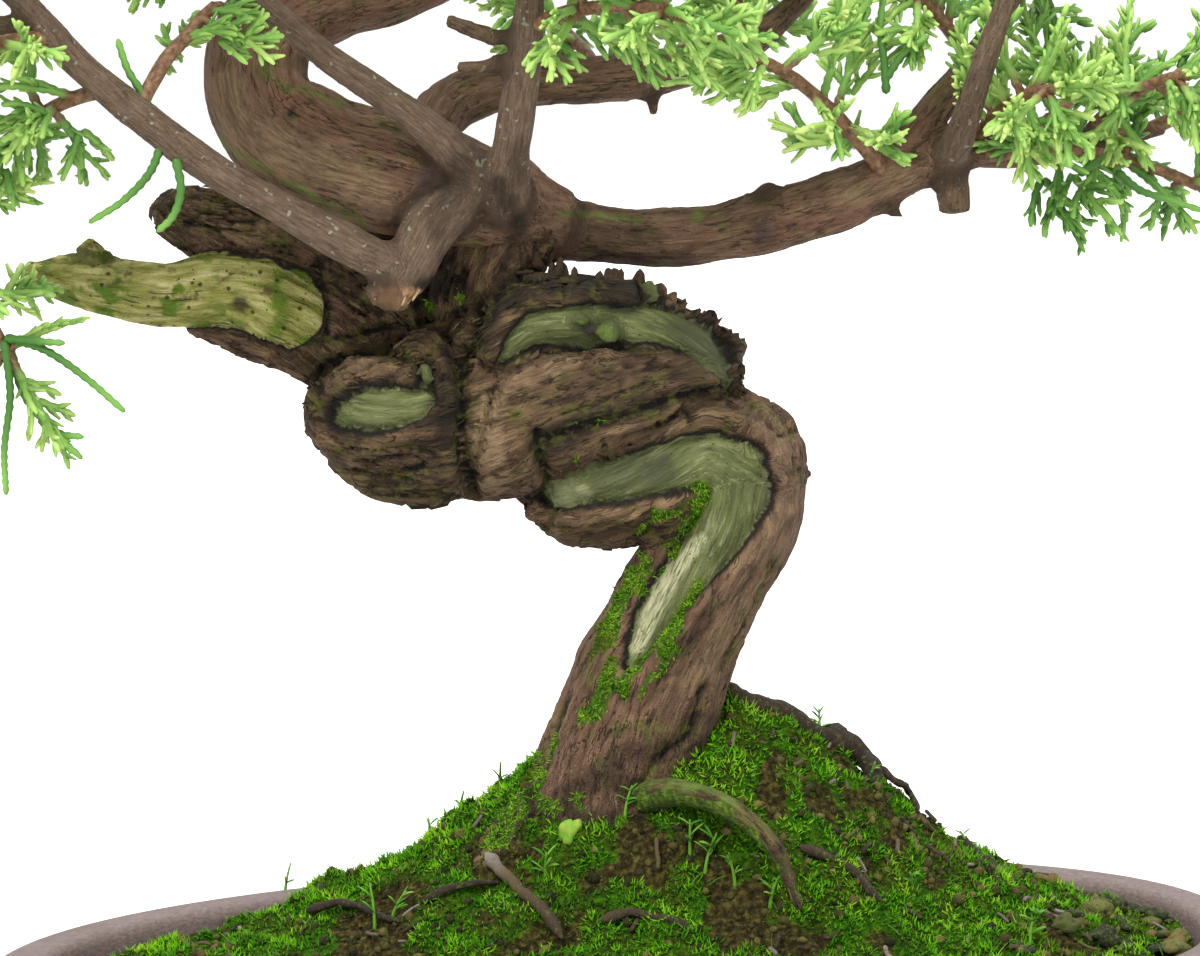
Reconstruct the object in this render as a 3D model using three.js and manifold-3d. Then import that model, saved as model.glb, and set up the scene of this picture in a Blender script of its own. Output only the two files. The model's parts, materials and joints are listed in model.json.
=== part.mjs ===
// Itoigawa juniper bonsai: a coiled trunk with strips of deadwood, cord-like juniper sprays and a steep
// root mound, in an oval unglazed pot. Millimetres, +Z up. The pot's long side lies along X.
import * as THREE from "three";
import { mergeVertices } from "three/addons/utils/BufferGeometryUtils.js";
import Module from "manifold-3d";

const wasm = await Module();
wasm.setup();

// Driving dimensions
const GAP = 0.3; // clearance between pieces that touch
const TREE_TURN = THREE.MathUtils.degToRad(-15); // the tree faces a little to one side of the pot's front
const TREE_STANDS = new THREE.Vector2(-6, 18); // from the pot's middle to the tree's origin, in tree axes
const FRONT = new THREE.Vector3(0, -1, 0); // the side that the tree is seen from

const POT = {
  halfLength: 107,
  halfWidth: 60,
  rim: 50, // height of the rim above the surface that the pot stands on
  foot: 6,
  floor: 14, // top of the inside floor
  squareness: 2.2, // 2 would be a plain ellipse
  sides: 40,
  drainRadius: 6.5,
  drainAt: 40,
  drainSides: 16,
  footAngle: 0.62, // from the pot's long axis to the middle of a foot
  footSpread: 0.2, // half of the angle that one foot takes up
  footInset: 19,
  footWidth: 8,
  footSunk: 1.5, // how far a foot runs up into the base
};
const MOUND = { x: 17, y: 7, frontSteepness: 1.35, backSteepness: 2, leftSteepness: 0.93 };
const SOIL_LEVEL = 45.5; // beside the pot's wall
const SOIL_RINGS = [1, 0.88, 0.74, 0.6, 0.46, 0.33, 0.18]; // shares of the way from mound top to wall
const PEBBLES = { count: 12, inset: [15, 27], radius: [1.7, 3.4] };
const TWIG = { root: 1.25, tip: 0.9, step: 4.8, arch: 0.16 };
const SHOOT = {
  shortest: 14,
  longest: 19,
  turn: 2.4, // round the twig from one shoot to the next
  sway: 0.3,
  forward: 0.6, // share of the twig's own direction
  facing: 0.45, // least alignment with the side of the twig that it leaves
  tries: 12,
  retryTurn: 0.7,
};
const CORD = { root: 0.8, tip: 0.5, room: 1.6, step: 3.7, side: 7.6, lean: 0.72, droop: 0.05 };

const vec = (x, y, z) => new THREE.Vector3(x, y, z);

let seed = 20817;
function random(low = 0, high = 1) {
  seed = (seed * 16807) % 2147483647;
  return low + ((high - low) * seed) / 2147483647;
}

// A closed skin over rings of equal point counts, pinched to a pole at each end
function loft(rings, firstPole, lastPole) {
  const n = rings[0].length;
  const points = [...rings.flat(), firstPole, lastPole];
  const first = points.length - 2;
  const last = points.length - 1;
  const faces = [];
  for (let i = 0; i < n; i += 1) {
    const next = (i + 1) % n;
    faces.push([first, next, i]);
    for (let j = 0; j + 1 < rings.length; j += 1) {
      const a = j * n + i;
      const b = j * n + next;
      faces.push([a, b, b + n], [a, b + n, a + n]);
    }
    const top = (rings.length - 1) * n;
    faces.push([last, top + i, top + next]);
  }
  return closedMesh(points, faces);
}

// Points and faces as a geometry whose faces point out
function closedMesh(points, faces) {
  let volume = 0;
  for (const [a, b, c] of faces) {
    volume += points[a].dot(points[b].clone().cross(points[c]));
  }
  const outward = volume > 0 ? faces : faces.map(([a, b, c]) => [a, c, b]);
  const geometry = new THREE.BufferGeometry().setFromPoints(points);
  geometry.setIndex(outward.flat());
  return geometry;
}

function solid(geometry) {
  const bare = geometry.clone();
  bare.deleteAttribute("normal");
  bare.deleteAttribute("uv");
  const merged = mergeVertices(bare, 1e-4);
  return new wasm.Manifold(
    new wasm.Mesh({
      numProp: 3,
      vertProperties: Float32Array.from(merged.attributes.position.array),
      triVerts: Uint32Array.from(merged.index.array),
    }),
  );
}

const join = (solids) => solids.reduce((whole, piece) => whole.add(piece));

// The largest body of a solid, without loose scraps
function largest(whole) {
  return whole.decompose().reduce((best, body) => (body.volume() > best.volume() ? body : best));
}

function geometryOf(whole) {
  const mesh = whole.getMesh();
  const geometry = new THREE.BufferGeometry();
  geometry.setAttribute("position", new THREE.BufferAttribute(mesh.vertProperties, 3));
  geometry.setIndex(new THREE.BufferAttribute(mesh.triVerts, 1));
  geometry.computeVertexNormals();
  return geometry;
}

// Pot
function ovalPoint(inset, z, angle) {
  const power = 2 / POT.squareness;
  const c = Math.cos(angle);
  const s = Math.sin(angle);
  const x = (POT.halfLength - inset) * Math.sign(c) * Math.abs(c) ** power;
  const y = (POT.halfWidth - inset) * Math.sign(s) * Math.abs(s) ** power;
  return vec(x, y, z);
}

function ovalRing(inset, z) {
  const angle = (i) => ((i + 0.5) / POT.sides) * 2 * Math.PI;
  return Array.from({ length: POT.sides }, (_, i) => ovalPoint(inset, z, angle(i)));
}

const OUTER_WALL = [
  [20, 0.12],
  [13.5, 0.2],
  [9, 0.42],
  [6.5, 0.66],
  [5.6, 0.8],
  [1.4, 0.83],
  [0, 0.88],
  [1, 0.97],
];
const INNER_WALL = [
  [3.5, 1],
  [8, 1],
  [9.8, 0.98],
  [10.4, 0.94],
  [11.2, 0.8],
  [14, 0.46],
  [20, 0.28],
];

function footOutline(angle) {
  const outline = [];
  const steps = 4;
  for (const [inset, direction] of [
    [POT.footInset, 1],
    [POT.footInset + POT.footWidth, -1],
  ]) {
    for (let i = -steps; i <= steps; i += 1) {
      const point = ovalPoint(inset, 0, angle + (direction * i * POT.footSpread) / steps);
      outline.push(new THREE.Vector2(point.x, point.y));
    }
  }
  return outline;
}

function makePot() {
  const rings = [...OUTER_WALL, ...INNER_WALL].map(([inset, height]) => ovalRing(inset, height * POT.rim));
  let pot = solid(loft(rings, vec(0, 0, POT.foot), vec(0, 0, POT.floor)));
  const turn = POT.footAngle;
  for (const angle of [turn, Math.PI - turn, Math.PI + turn, -turn]) {
    const foot = new THREE.ExtrudeGeometry(new THREE.Shape(footOutline(angle)), {
      depth: POT.foot + POT.footSunk,
      bevelEnabled: false,
    });
    pot = pot.add(solid(foot));
  }
  for (const side of [-1, 1]) {
    const drain = new THREE.CylinderGeometry(POT.drainRadius, POT.drainRadius, 2 * POT.floor, POT.drainSides);
    drain.rotateX(Math.PI / 2).translate(side * POT.drainAt, 0, POT.floor);
    pot = pot.subtract(solid(drain));
  }
  return pot;
}

// Limbs: round wood along a smooth curve through [x, y, z, radius], in the tree's own axes
function curveFrames(points, spacing) {
  const curve = new THREE.CatmullRomCurve3(points.map(([x, y, z]) => vec(x, y, z)));
  const steps = Math.max(points.length - 1, Math.round(curve.getLength() / spacing));
  const frames = [];
  let normal = FRONT.clone();
  for (let i = 0; i <= steps; i += 1) {
    const u = i / steps;
    const span = Math.min(Math.floor(u * (points.length - 1)), points.length - 2);
    const part = u * (points.length - 1) - span;
    const tangent = curve.getTangent(u);
    normal = normal.clone().addScaledVector(tangent, -normal.dot(tangent)).normalize();
    frames.push({
      u,
      tangent,
      normal,
      side: tangent.clone().cross(normal),
      centre: curve.getPoint(u),
      radius: THREE.MathUtils.lerp(points[span][3], points[span + 1][3], part),
    });
  }
  return frames;
}

function frameRing(frame, sides, radius, ahead, shape) {
  const ring = [];
  for (let i = 0; i < sides; i += 1) {
    const angle = (i / sides) * 2 * Math.PI;
    const reach = radius * shape(angle, frame.u);
    ring.push(
      frame.centre
        .clone()
        .addScaledVector(frame.tangent, ahead)
        .addScaledVector(frame.normal, reach * Math.cos(angle))
        .addScaledVector(frame.side, reach * Math.sin(angle)),
    );
  }
  return ring;
}

function limb(points, { grow = 0, shape = () => 1, spacing, sides, blunt = false } = {}) {
  const widest = Math.max(...points.map((point) => point[3]));
  const around = sides ?? (widest > 6 ? 10 : widest > 3.4 ? 7 : 5);
  const frames = curveFrames(points, spacing ?? Math.max(10, widest));
  const rings = [];
  const capSteps = blunt ? [] : [0.7];
  const first = frames[0];
  const last = frames[frames.length - 1];
  for (const rise of capSteps) {
    const ahead = -(first.radius + grow) * rise;
    rings.push(frameRing(first, around, (first.radius + grow) * Math.sqrt(1 - rise * rise), ahead, shape));
  }
  for (const frame of frames) {
    rings.push(frameRing(frame, around, frame.radius + grow, 0, shape));
  }
  for (const rise of [...capSteps].reverse()) {
    const ahead = (last.radius + grow) * rise;
    rings.push(frameRing(last, around, (last.radius + grow) * Math.sqrt(1 - rise * rise), ahead, shape));
  }
  const pole = (frame, sign) =>
    frame.centre.clone().addScaledVector(frame.tangent, sign * (frame.radius + grow) * (blunt ? 0.15 : 1));
  return solid(loft(rings, pole(first, -1), pole(last, 1)));
}

// Swollen, ropy bark with one sunk strip of deadwood between rolled lips; angles are from the front
function strip(middle, halfWidth, depth = 0.15) {
  return (angle, u) => {
    const away = Math.abs(THREE.MathUtils.euclideanModulo(angle - middle + Math.PI, 2 * Math.PI) - Math.PI);
    const ropes = 0.035 * Math.cos(3 * angle + 6 * u) + 0.02 * Math.cos(5 * angle - 9 * u);
    if (away < halfWidth) {
      return 1 - depth;
    }
    return 1 + ropes + (away < halfWidth + 0.5 ? 0.05 : 0);
  };
}

const ropy = (angle, u) => 1 + 0.045 * Math.cos(3 * angle + 7 * u) + 0.025 * Math.cos(5 * angle - 11 * u);

// The trunk winds once round itself before it goes up
const COIL = [
  {
    points: [
      [5, 4, 46, 17],
      [3.2, 2, 66, 17.5],
      [5, 1, 77.8, 15],
      [8.8, 0, 88.2, 12.8],
      [13.2, 0, 99.2, 11.6],
      [17.7, 0, 108.5, 11.2],
      [21.8, 0, 117.5, 11.2],
      [23.6, 0, 127, 11.3],
    ],
    options: { shape: strip(-0.3, 0.5), sides: 12 },
  },
  {
    points: [
      [23.2, 0, 126, 11.4],
      [16, -1, 129.6, 10.4],
      [8, -3, 125.8, 9.8],
      [0, -4, 122.1, 9.4],
      [-3.5, -3, 121.2, 8.8],
    ],
    options: { shape: strip(0.1, 0.5), sides: 12 },
  },
  {
    points: [
      [-3, -1, 121.5, 8.3],
      [-6, 5, 123, 8],
      [-8, 13, 126, 8.6],
    ],
    options: { shape: ropy },
  },
  {
    points: [
      [-8, 12, 125.5, 8.6],
      [1.7, 19, 131.9, 9.4],
      [12, 17, 138.2, 9],
      [17.5, 11, 141.5, 8],
    ],
    options: { shape: ropy },
  },
  {
    points: [
      [17.5, 11, 141.5, 7.6],
      [17.5, 4, 144.5, 7.2],
      [13, -1, 147.6, 7],
    ],
    options: { shape: ropy },
  },
  {
    points: [
      [16, 0, 145.5, 6.6],
      [10, -4.5, 149.2, 7],
      [1.6, -7, 151.4, 7.6],
      [-9.8, -6, 150.4, 8.2],
      [-17, -3, 145.5, 9],
    ],
    options: { shape: strip(-0.35, 0.5), sides: 12 },
  },
  {
    points: [
      [18, -2, 140.5, 4.6],
      [10, -6, 140, 6.8],
      [-1.6, -7.5, 137, 9.4],
      [-11.5, -6, 133.5, 10.8],
      [-19, -3, 131.5, 10.6],
    ],
    options: { shape: ropy },
  },
  {
    points: [
      [-17, -1, 137.5, 12],
      [-28.1, -3, 134.4, 14],
      [-35.5, -3, 133.4, 12.8],
      [-39.5, 0, 134.4, 10.4],
    ],
    options: { shape: strip(0.1, 0.45, 0.1), sides: 12 },
  },
  {
    points: [
      [-37.5, 3, 136, 10.5],
      [-39.5, 10, 142, 10],
      [-36, 13, 149.5, 10],
      [-28.9, 12, 156.3, 10],
      [-18.5, 8, 162.5, 10],
      [-10.8, 4, 166, 9.4],
    ],
    options: { shape: ropy },
  },
  {
    points: [
      [-20, 3, 146, 10],
      [-17, 4, 157, 10],
      [-12, 4, 166, 9.4],
    ],
    options: { shape: ropy },
  },
];

const LEADER = [
  [-7, 4, 166.4, 8],
  [-13.3, 3, 168.1, 9.2],
  [-23.3, 0, 171, 9.4],
  [-34.8, -2, 174.6, 9.5],
  [-47, -2, 178.6, 9.5],
  [-55, -1, 185, 9.1],
  [-56.4, 1, 192.6, 8.7],
  [-53.4, 3, 199.2, 8.2],
  [-46, 5, 203, 7.4],
  [-34.9, 7, 205.8, 6.6],
  [-24.5, 8, 210.3, 5.7],
  [-18, 7, 217.6, 4.8],
  [-18.5, 4, 226, 3.6],
  [-23, 1, 233, 2.2],
];

const JIN = [
  [-42.6, 4, 145.9, 7.5],
  [-51.5, 1, 151.2, 7],
  [-61.2, -1, 155, 6.1],
  [-71.8, -2, 155.2, 5.2],
  [-80.7, -3, 156.6, 4.8],
  [-88.1, -3, 158.2, 3.4],
  [-93.2, -3, 159, 1.8],
];

const BRANCHES = {
  barkSpur: [
    [-33.8, 10, 148.1, 9],
    [-43.8, 9, 154.9, 9],
    [-55.3, 7, 162.5, 8],
    [-66, 5, 166.4, 6.4],
    [-71, 4, 168, 4.8],
  ],
  jinLip: [
    [-44, 4, 140.5, 4],
    [-53.2, 1, 144.4, 4],
    [-60.6, 0, 146.7, 3.2],
    [-66.7, 0, 148.6, 2],
  ],
  right: [
    [-15, 4, 165.9, 6],
    [-5, 5, 165.1, 5.2],
    [6.7, 5, 164.1, 4.9],
    [16.7, 4, 164.3, 4.8],
    [28.3, 3, 167.2, 5.1],
    [39.8, 2, 171.2, 5],
    [49.7, 2, 175.4, 4],
    [59.7, 3, 178.4, 3.5],
    [69.8, 4, 177.8, 2.6],
    [81.6, 5, 179.5, 2],
    [93.2, 5, 182, 1.4],
  ],
  rightRising: [
    [46.4, 2, 173.8, 3.6],
    [53.9, 4, 183.3, 3.2],
    [60.7, 6, 190.8, 2.7],
    [66.7, 8, 199.9, 2.1],
    [71.7, 9, 209.9, 1.4],
  ],
  rightUpright: [
    [57.5, 2, 176.4, 3],
    [58.6, -5, 180.5, 2.5],
    [59.6, -10, 185, 2.3],
    [61.5, -16, 192.8, 2.1],
    [63.9, -20, 201.3, 1.8],
    [64.8, -21, 206.5, 1.3],
  ],
  back: [
    [-29.9, 4, 178.4, 5],
    [-25.2, 10, 185.9, 4.5],
    [-13.5, 15, 189.8, 4.1],
    [0, 19, 190.2, 4.1],
    [13.7, 22, 192.2, 3.8],
    [25.7, 24, 196.7, 3],
    [34.4, 26, 203.9, 2.1],
    [43.1, 28, 212.5, 1.4],
  ],
  frontHigh: [
    [-18, -4, 171.1, 4.8],
    [-25.8, -12, 180.1, 3.1],
    [-34.4, -16, 186.9, 2.6],
    [-42.9, -19, 192.9, 2.4],
    [-49.7, -22, 198.6, 2.3],
    [-56.4, -25, 203.8, 2.2],
    [-63.8, -28, 209.5, 1.9],
    [-72.7, -30, 214, 1.4],
  ],
  frontKnuckle: [
    [-22, -4, 172.5, 5],
    [-28.2, -13, 164.8, 4.6],
    [-31.5, -16, 158.1, 3.8],
    [-32.9, -17, 154.6, 2.4],
  ],
  frontLow: [
    [-30.9, -15, 158.5, 3.4],
    [-39.6, -19, 162.4, 2.9],
    [-51.4, -23, 169.2, 2.6],
    [-60, -26.5, 174.6, 2.7],
    [-70.1, -30, 182.8, 2.8],
    [-81, -34, 192.4, 2.5],
    [-88.8, -37, 201.5, 2.1],
    [-97.3, -40, 207.4, 1.4],
  ],
  frontUpright: [
    [-16.3, -4, 170.1, 5],
    [-14.5, -12, 178.5, 3.2],
    [-12.8, -15, 188, 3],
    [-11.5, -17, 197.5, 2.7],
    [-11.1, -18, 206.9, 2.1],
    [-12.7, -18, 214.7, 1.4],
  ],
  hanging: [
    [-85.5, -35.5, 197.5, 1.8],
    [-98, -33, 197, 1.6],
    [-110, -29, 189, 1.5],
    [-116, -27, 177, 1.3],
  ],
  archedRoot: [
    [5, -8, 70.5, 3.4],
    [13, -19, 75, 2.5],
    [20.9, -25, 73.4, 2.4],
    [27.8, -30, 68, 2.3],
    [31.6, -33, 59, 2.2],
  ],
  rightRoot: [
    [12, 2, 80, 9],
    [22, 5, 76, 7.5],
    [34, 8, 66, 5.5],
    [44, 10, 55, 4],
  ],
  leftRoot: [
    [0, 0, 72, 9],
    [-9, -3, 66, 7],
    [-18, -7, 58, 5],
  ],
};

// Cut and torn ends: [from, to, radius at the root, radius at the end]
const STUBS = [
  [[58, 2, 177], [58.8, 2, 168], 3, 2.7],
  [[30, 3, 167], [27, 2, 172.5], 2.4, 1.9],
  [[44, 2, 171], [50.5, 1, 167.2], 2.4, 0.5],
  [[9, 20, 190], [9, 20, 184], 1.5, 1],
  [[-4, -10, 151], [-0.5, -15, 149.8], 3.6, 2.4],
  [[7.8, -6, 150.5], [8, -10.5, 156.5], 2.1, 1.4],
  [[-28, -12, 137], [-28.2, -15, 144], 2, 1],
  [[-81, -3, 158], [-85, -3, 163], 3, 1.6],
  [[-16, -17, 196], [-24.5, -17, 199], 1.7, 1.2],
  [[-14, -16, 192], [-23, -16, 191.5], 1.5, 1.1],
];

function makeTrunk(grow) {
  const wood = COIL.map(({ points, options }) => limb(points, { ...options, grow }));
  wood.push(limb(LEADER, { grow, shape: ropy }));
  wood.push(limb(JIN, { grow, shape: ropy, sides: 12 }));
  for (const points of Object.values(BRANCHES)) {
    wood.push(limb(points, { grow, shape: points[0][3] > 5 ? ropy : undefined }));
  }
  for (const [from, to, root, end] of STUBS) {
    wood.push(limb([[...from, root], [...to, end]], { grow, sides: 7, blunt: true, spacing: 20 }));
  }
  return largest(join(wood));
}

// Soil mound, in the pot's axes
const MOUND_PROFILE = new THREE.SplineCurve(
  [
    [0, 44],
    [9, 40],
    [20, 33],
    [32, 25],
    [44, 14.5],
    [58, 7.5],
    [76, 1.5],
    [100, 0],
  ].map(([distance, height]) => new THREE.Vector2(distance, height)),
);

function moundHeight(distance) {
  const points = MOUND_PROFILE.points;
  const span = points.findIndex((point) => point.x > distance) - 1;
  if (span < 0) {
    return 0;
  }
  const part = (distance - points[span].x) / (points[span + 1].x - points[span].x);
  return MOUND_PROFILE.getPoint((span + part) / (points.length - 1)).y;
}

const treeToPot = new THREE.Matrix4()
  .makeRotationZ(TREE_TURN)
  .multiply(new THREE.Matrix4().makeTranslation(TREE_STANDS.x, TREE_STANDS.y, 0));
const potToTree = treeToPot.clone().invert();

function soilHeight(x, y) {
  const at = vec(x, y, 0).applyMatrix4(potToTree);
  const across = at.y - MOUND.y;
  const steepness = across < 0 ? MOUND.frontSteepness : MOUND.backSteepness;
  const along = at.x - MOUND.x;
  const distance = Math.hypot(along < 0 ? along * MOUND.leftSteepness : along, across * steepness);
  const lumps = Math.sin(at.x * 0.31) * Math.cos(at.y * 0.27 + 1) + 0.6 * Math.sin(at.x * 0.62 + at.y * 0.55);
  return SOIL_LEVEL + moundHeight(distance) + 0.8 * lumps;
}

function makeSoil(trunkRoom) {
  const rings = INNER_WALL.slice(-3)
    .reverse()
    .map(([inset, height], index) => ovalRing(inset + GAP * 1.5, height * POT.rim + (index === 0 ? GAP : 0)));
  const middle = vec(MOUND.x, MOUND.y, 0).applyMatrix4(treeToPot);
  const edge = ovalRing(INNER_WALL[4][0] + GAP, 0);
  for (const reach of SOIL_RINGS) {
    rings.push(
      edge.map((point) => {
        const at = point.clone().multiplyScalar(reach).addScaledVector(middle, 1 - reach);
        return at.setZ(reach === 1 ? SOIL_LEVEL - 0.5 : soilHeight(at.x, at.y));
      }),
    );
  }
  const top = vec(middle.x, middle.y, soilHeight(middle.x, middle.y));
  let soil = solid(loft(rings, vec(0, 0, POT.floor + GAP), top));
  for (let i = 0; i < PEBBLES.count; i += 1) {
    const angle = (i / PEBBLES.count) * 2 * Math.PI + random(-0.1, 0.1);
    const at = ovalPoint(random(...PEBBLES.inset), 0, angle);
    const pebble = new THREE.IcosahedronGeometry(random(...PEBBLES.radius), 0);
    pebble.scale(1.2, 1, 0.7).rotateZ(random(0, Math.PI)).translate(at.x, at.y, soilHeight(at.x, at.y) + 0.4);
    soil = soil.add(solid(pebble));
  }
  return largest(soil.subtract(trunkRoom));
}

// Foliage: a spray is a slim twig set with shoots, and each shoot is a green cord with cords off its sides.
// One entry per spray: where its twig leaves the branch, where it ends, and how many shoots it carries
const SPRAYS = {
  right_tip: [[91, 5, 181.5], [112, 2, 186], 8],
  right_trailing: [[64, 1, 177.5], [98, -4, 172.5], 5],
  right_front: [[80, 5, 179.5], [92, -18, 190], 8],
  right_back: [[72, 4.5, 178], [86, 25, 190], 8],
  right_over: [[61, 3, 178.5], [71, -20, 188], 8],
  right_inner: [[47, 0, 174], [24, -24, 193], 9],
  right_crown: [[71, 9, 208.5], [86, 12, 218], 8],
  right_crown_front: [[62, 6.5, 193], [46, -9, 206], 8],
  right_crown_back: [[67, 8, 200.5], [78, 28, 209], 8],
  apex: [[-22.5, 1, 231], [-28, -4, 242], 8],
  apex_right: [[-18, 5, 223], [-1, 10, 235], 8],
  apex_front: [[-18, 6, 219], [-5, -13, 230], 8],
  apex_left: [[-22, 8, 213.5], [-39, -6, 227], 8],
  apex_back: [[-18.3, 6, 221], [-34, 24, 232], 8],
  leader_left: [[-38, 7, 208], [-52, 14, 222], 7],
  back_tip: [[42, 28, 211.5], [54, 36, 221], 8],
  back_low: [[25, 24, 196.5], [24, 44, 205], 7],
  back_rise: [[34, 26, 203.5], [27, 8, 215], 7],
  back_inner: [[0, 19, 190.5], [-10, 40, 201], 8],
  front_crown: [[-11, -18, 207.5], [6, -33, 216], 8],
  front_fall: [[-11.5, -17, 197.5], [12, -39, 199], 9],
  front_tip: [[-12.6, -18, 213.5], [-24, -29, 225], 7],
  left_crown: [[-71.5, -30, 213.5], [-90, -30, 221], 8],
  left_crown_front: [[-63, -28, 209], [-62, -46, 217], 7],
  left_crown_back: [[-56.5, -25, 204], [-72, -6, 216], 8],
  left_tip: [[-96, -39.5, 206.5], [-112, -46, 208], 7],
  left_side: [[-84, -35, 195.5], [-100, -49, 190], 7],
  left_low: [[-76, -32, 188], [-96, -24, 178], 7],
  left_twig: [[-72, -31, 184.5], [-60, -27, 201], 3],
  left_hanging: [[-116, -27, 178], [-94, -25, 147], 8],
};

// Stretches of wood and foliage that later foliage keeps clear of
const taken = [];

function take(owner, from, to, radius) {
  const middle = from.clone().lerp(to, 0.5);
  taken.push({ owner, line: new THREE.Line3(from, to), radius, middle, half: from.distanceTo(to) / 2 });
}

function isClear(from, to, radius, ignored) {
  const nearest = vec();
  const middle = from.clone().lerp(to, 0.5);
  const half = from.distanceTo(to) / 2;
  const samples = Math.ceil(half);
  return taken.every((other) => {
    const room = radius + other.radius + GAP;
    if (ignored.includes(other.owner) || middle.distanceTo(other.middle) > half + other.half + room) {
      return true;
    }
    for (let i = 0; i <= samples; i += 1) {
      const point = from.clone().lerp(to, i / samples);
      if (other.line.closestPointToPoint(point, true, nearest).distanceTo(point) < room) {
        return false;
      }
    }
    return true;
  });
}

// Carries a three-sided stem on from a triangle of the mesh, and returns the quads of its sides by stretch
function growStem(mesh, base, centres, radii) {
  const stretches = [];
  let ring = base;
  let phase;
  let across;
  for (let i = 1; i < centres.length; i += 1) {
    const along = centres[Math.min(i + 1, centres.length - 1)].clone().sub(centres[i - 1]).normalize();
    across = (across ?? (Math.abs(along.z) < 0.9 ? vec(0, 0, 1) : vec(1, 0, 0))).clone();
    across.addScaledVector(along, -across.dot(along)).normalize();
    const over = along.clone().cross(across);
    if (phase === undefined) {
      const middle = vec();
      base.forEach((index) => middle.addScaledVector(mesh.points[index], 1 / 3));
      const lean = base.map((index, k) => {
        const out = mesh.points[index].clone().sub(middle);
        return Math.atan2(out.dot(over), out.dot(across)) - (k * 2 * Math.PI) / 3;
      });
      const sum = (turn) => lean.reduce((total, angle) => total + turn(angle), 0);
      phase = Math.atan2(sum(Math.sin), sum(Math.cos));
    }
    const next = [0, 1, 2].map((k) => {
      const angle = phase + (k * 2 * Math.PI) / 3;
      mesh.points.push(
        centres[i]
          .clone()
          .addScaledVector(across, radii[i] * Math.cos(angle))
          .addScaledVector(over, radii[i] * Math.sin(angle)),
      );
      return mesh.points.length - 1;
    });
    stretches.push([0, 1, 2].map((k) => [ring[k], ring[(k + 1) % 3], next[(k + 1) % 3], next[k]]));
    ring = next;
  }
  return { stretches, ring };
}

function closeQuad(mesh, [a, b, c, d]) {
  mesh.faces.push([a, b, c], [a, c, d]);
}

function quadNormal(mesh, [a, b, c]) {
  const corner = mesh.points[a];
  const one = mesh.points[b].clone().sub(corner);
  return one.cross(mesh.points[c].clone().sub(corner)).normalize();
}

// One shoot: a stem that ends in a point, with side cords drawn out of its side faces
function growShoot(mesh, base, start, direction, length, owner) {
  const steps = Math.round(length / CORD.step);
  const centres = Array.from({ length: steps }, (_, i) =>
    start
      .clone()
      .addScaledVector(direction, (length * i) / steps)
      .add(vec(0, 0, CORD.droop * length * (i / steps) ** 2)),
  );
  const radii = centres.map((_, i) => THREE.MathUtils.lerp(CORD.root, CORD.tip, i / steps));
  const { stretches, ring } = growStem(mesh, base, centres, radii);
  const tip = start.clone().addScaledVector(direction, length).add(vec(0, 0, CORD.droop * length));
  mesh.points.push(tip);
  const tipIndex = mesh.points.length - 1;
  for (let k = 0; k < 3; k += 1) {
    mesh.faces.push([ring[k], ring[(k + 1) % 3], tipIndex]);
  }
  stretches.forEach((quads, i) => {
    quads.forEach((quad, k) => {
      const middle = centres[i].clone().lerp(centres[i + 1], 0.5);
      const reach = CORD.side * (1.1 - (0.5 * i) / steps) * random(0.85, 1.1);
      const apex = middle
        .clone()
        .addScaledVector(direction, reach * CORD.lean)
        .addScaledVector(quadNormal(mesh, quad), reach * Math.sqrt(1 - CORD.lean * CORD.lean));
      if (i === 0 || (i + k) % 3 === 0 || !isClear(middle, apex, CORD.root, [owner])) {
        closeQuad(mesh, quad);
        return;
      }
      take(owner, middle, apex, CORD.root);
      mesh.points.push(apex);
      for (let edge = 0; edge < 4; edge += 1) {
        mesh.faces.push([quad[edge], quad[(edge + 1) % 4], mesh.points.length - 1]);
      }
    });
  });
  take(owner, start, tip, CORD.root);
}

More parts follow.
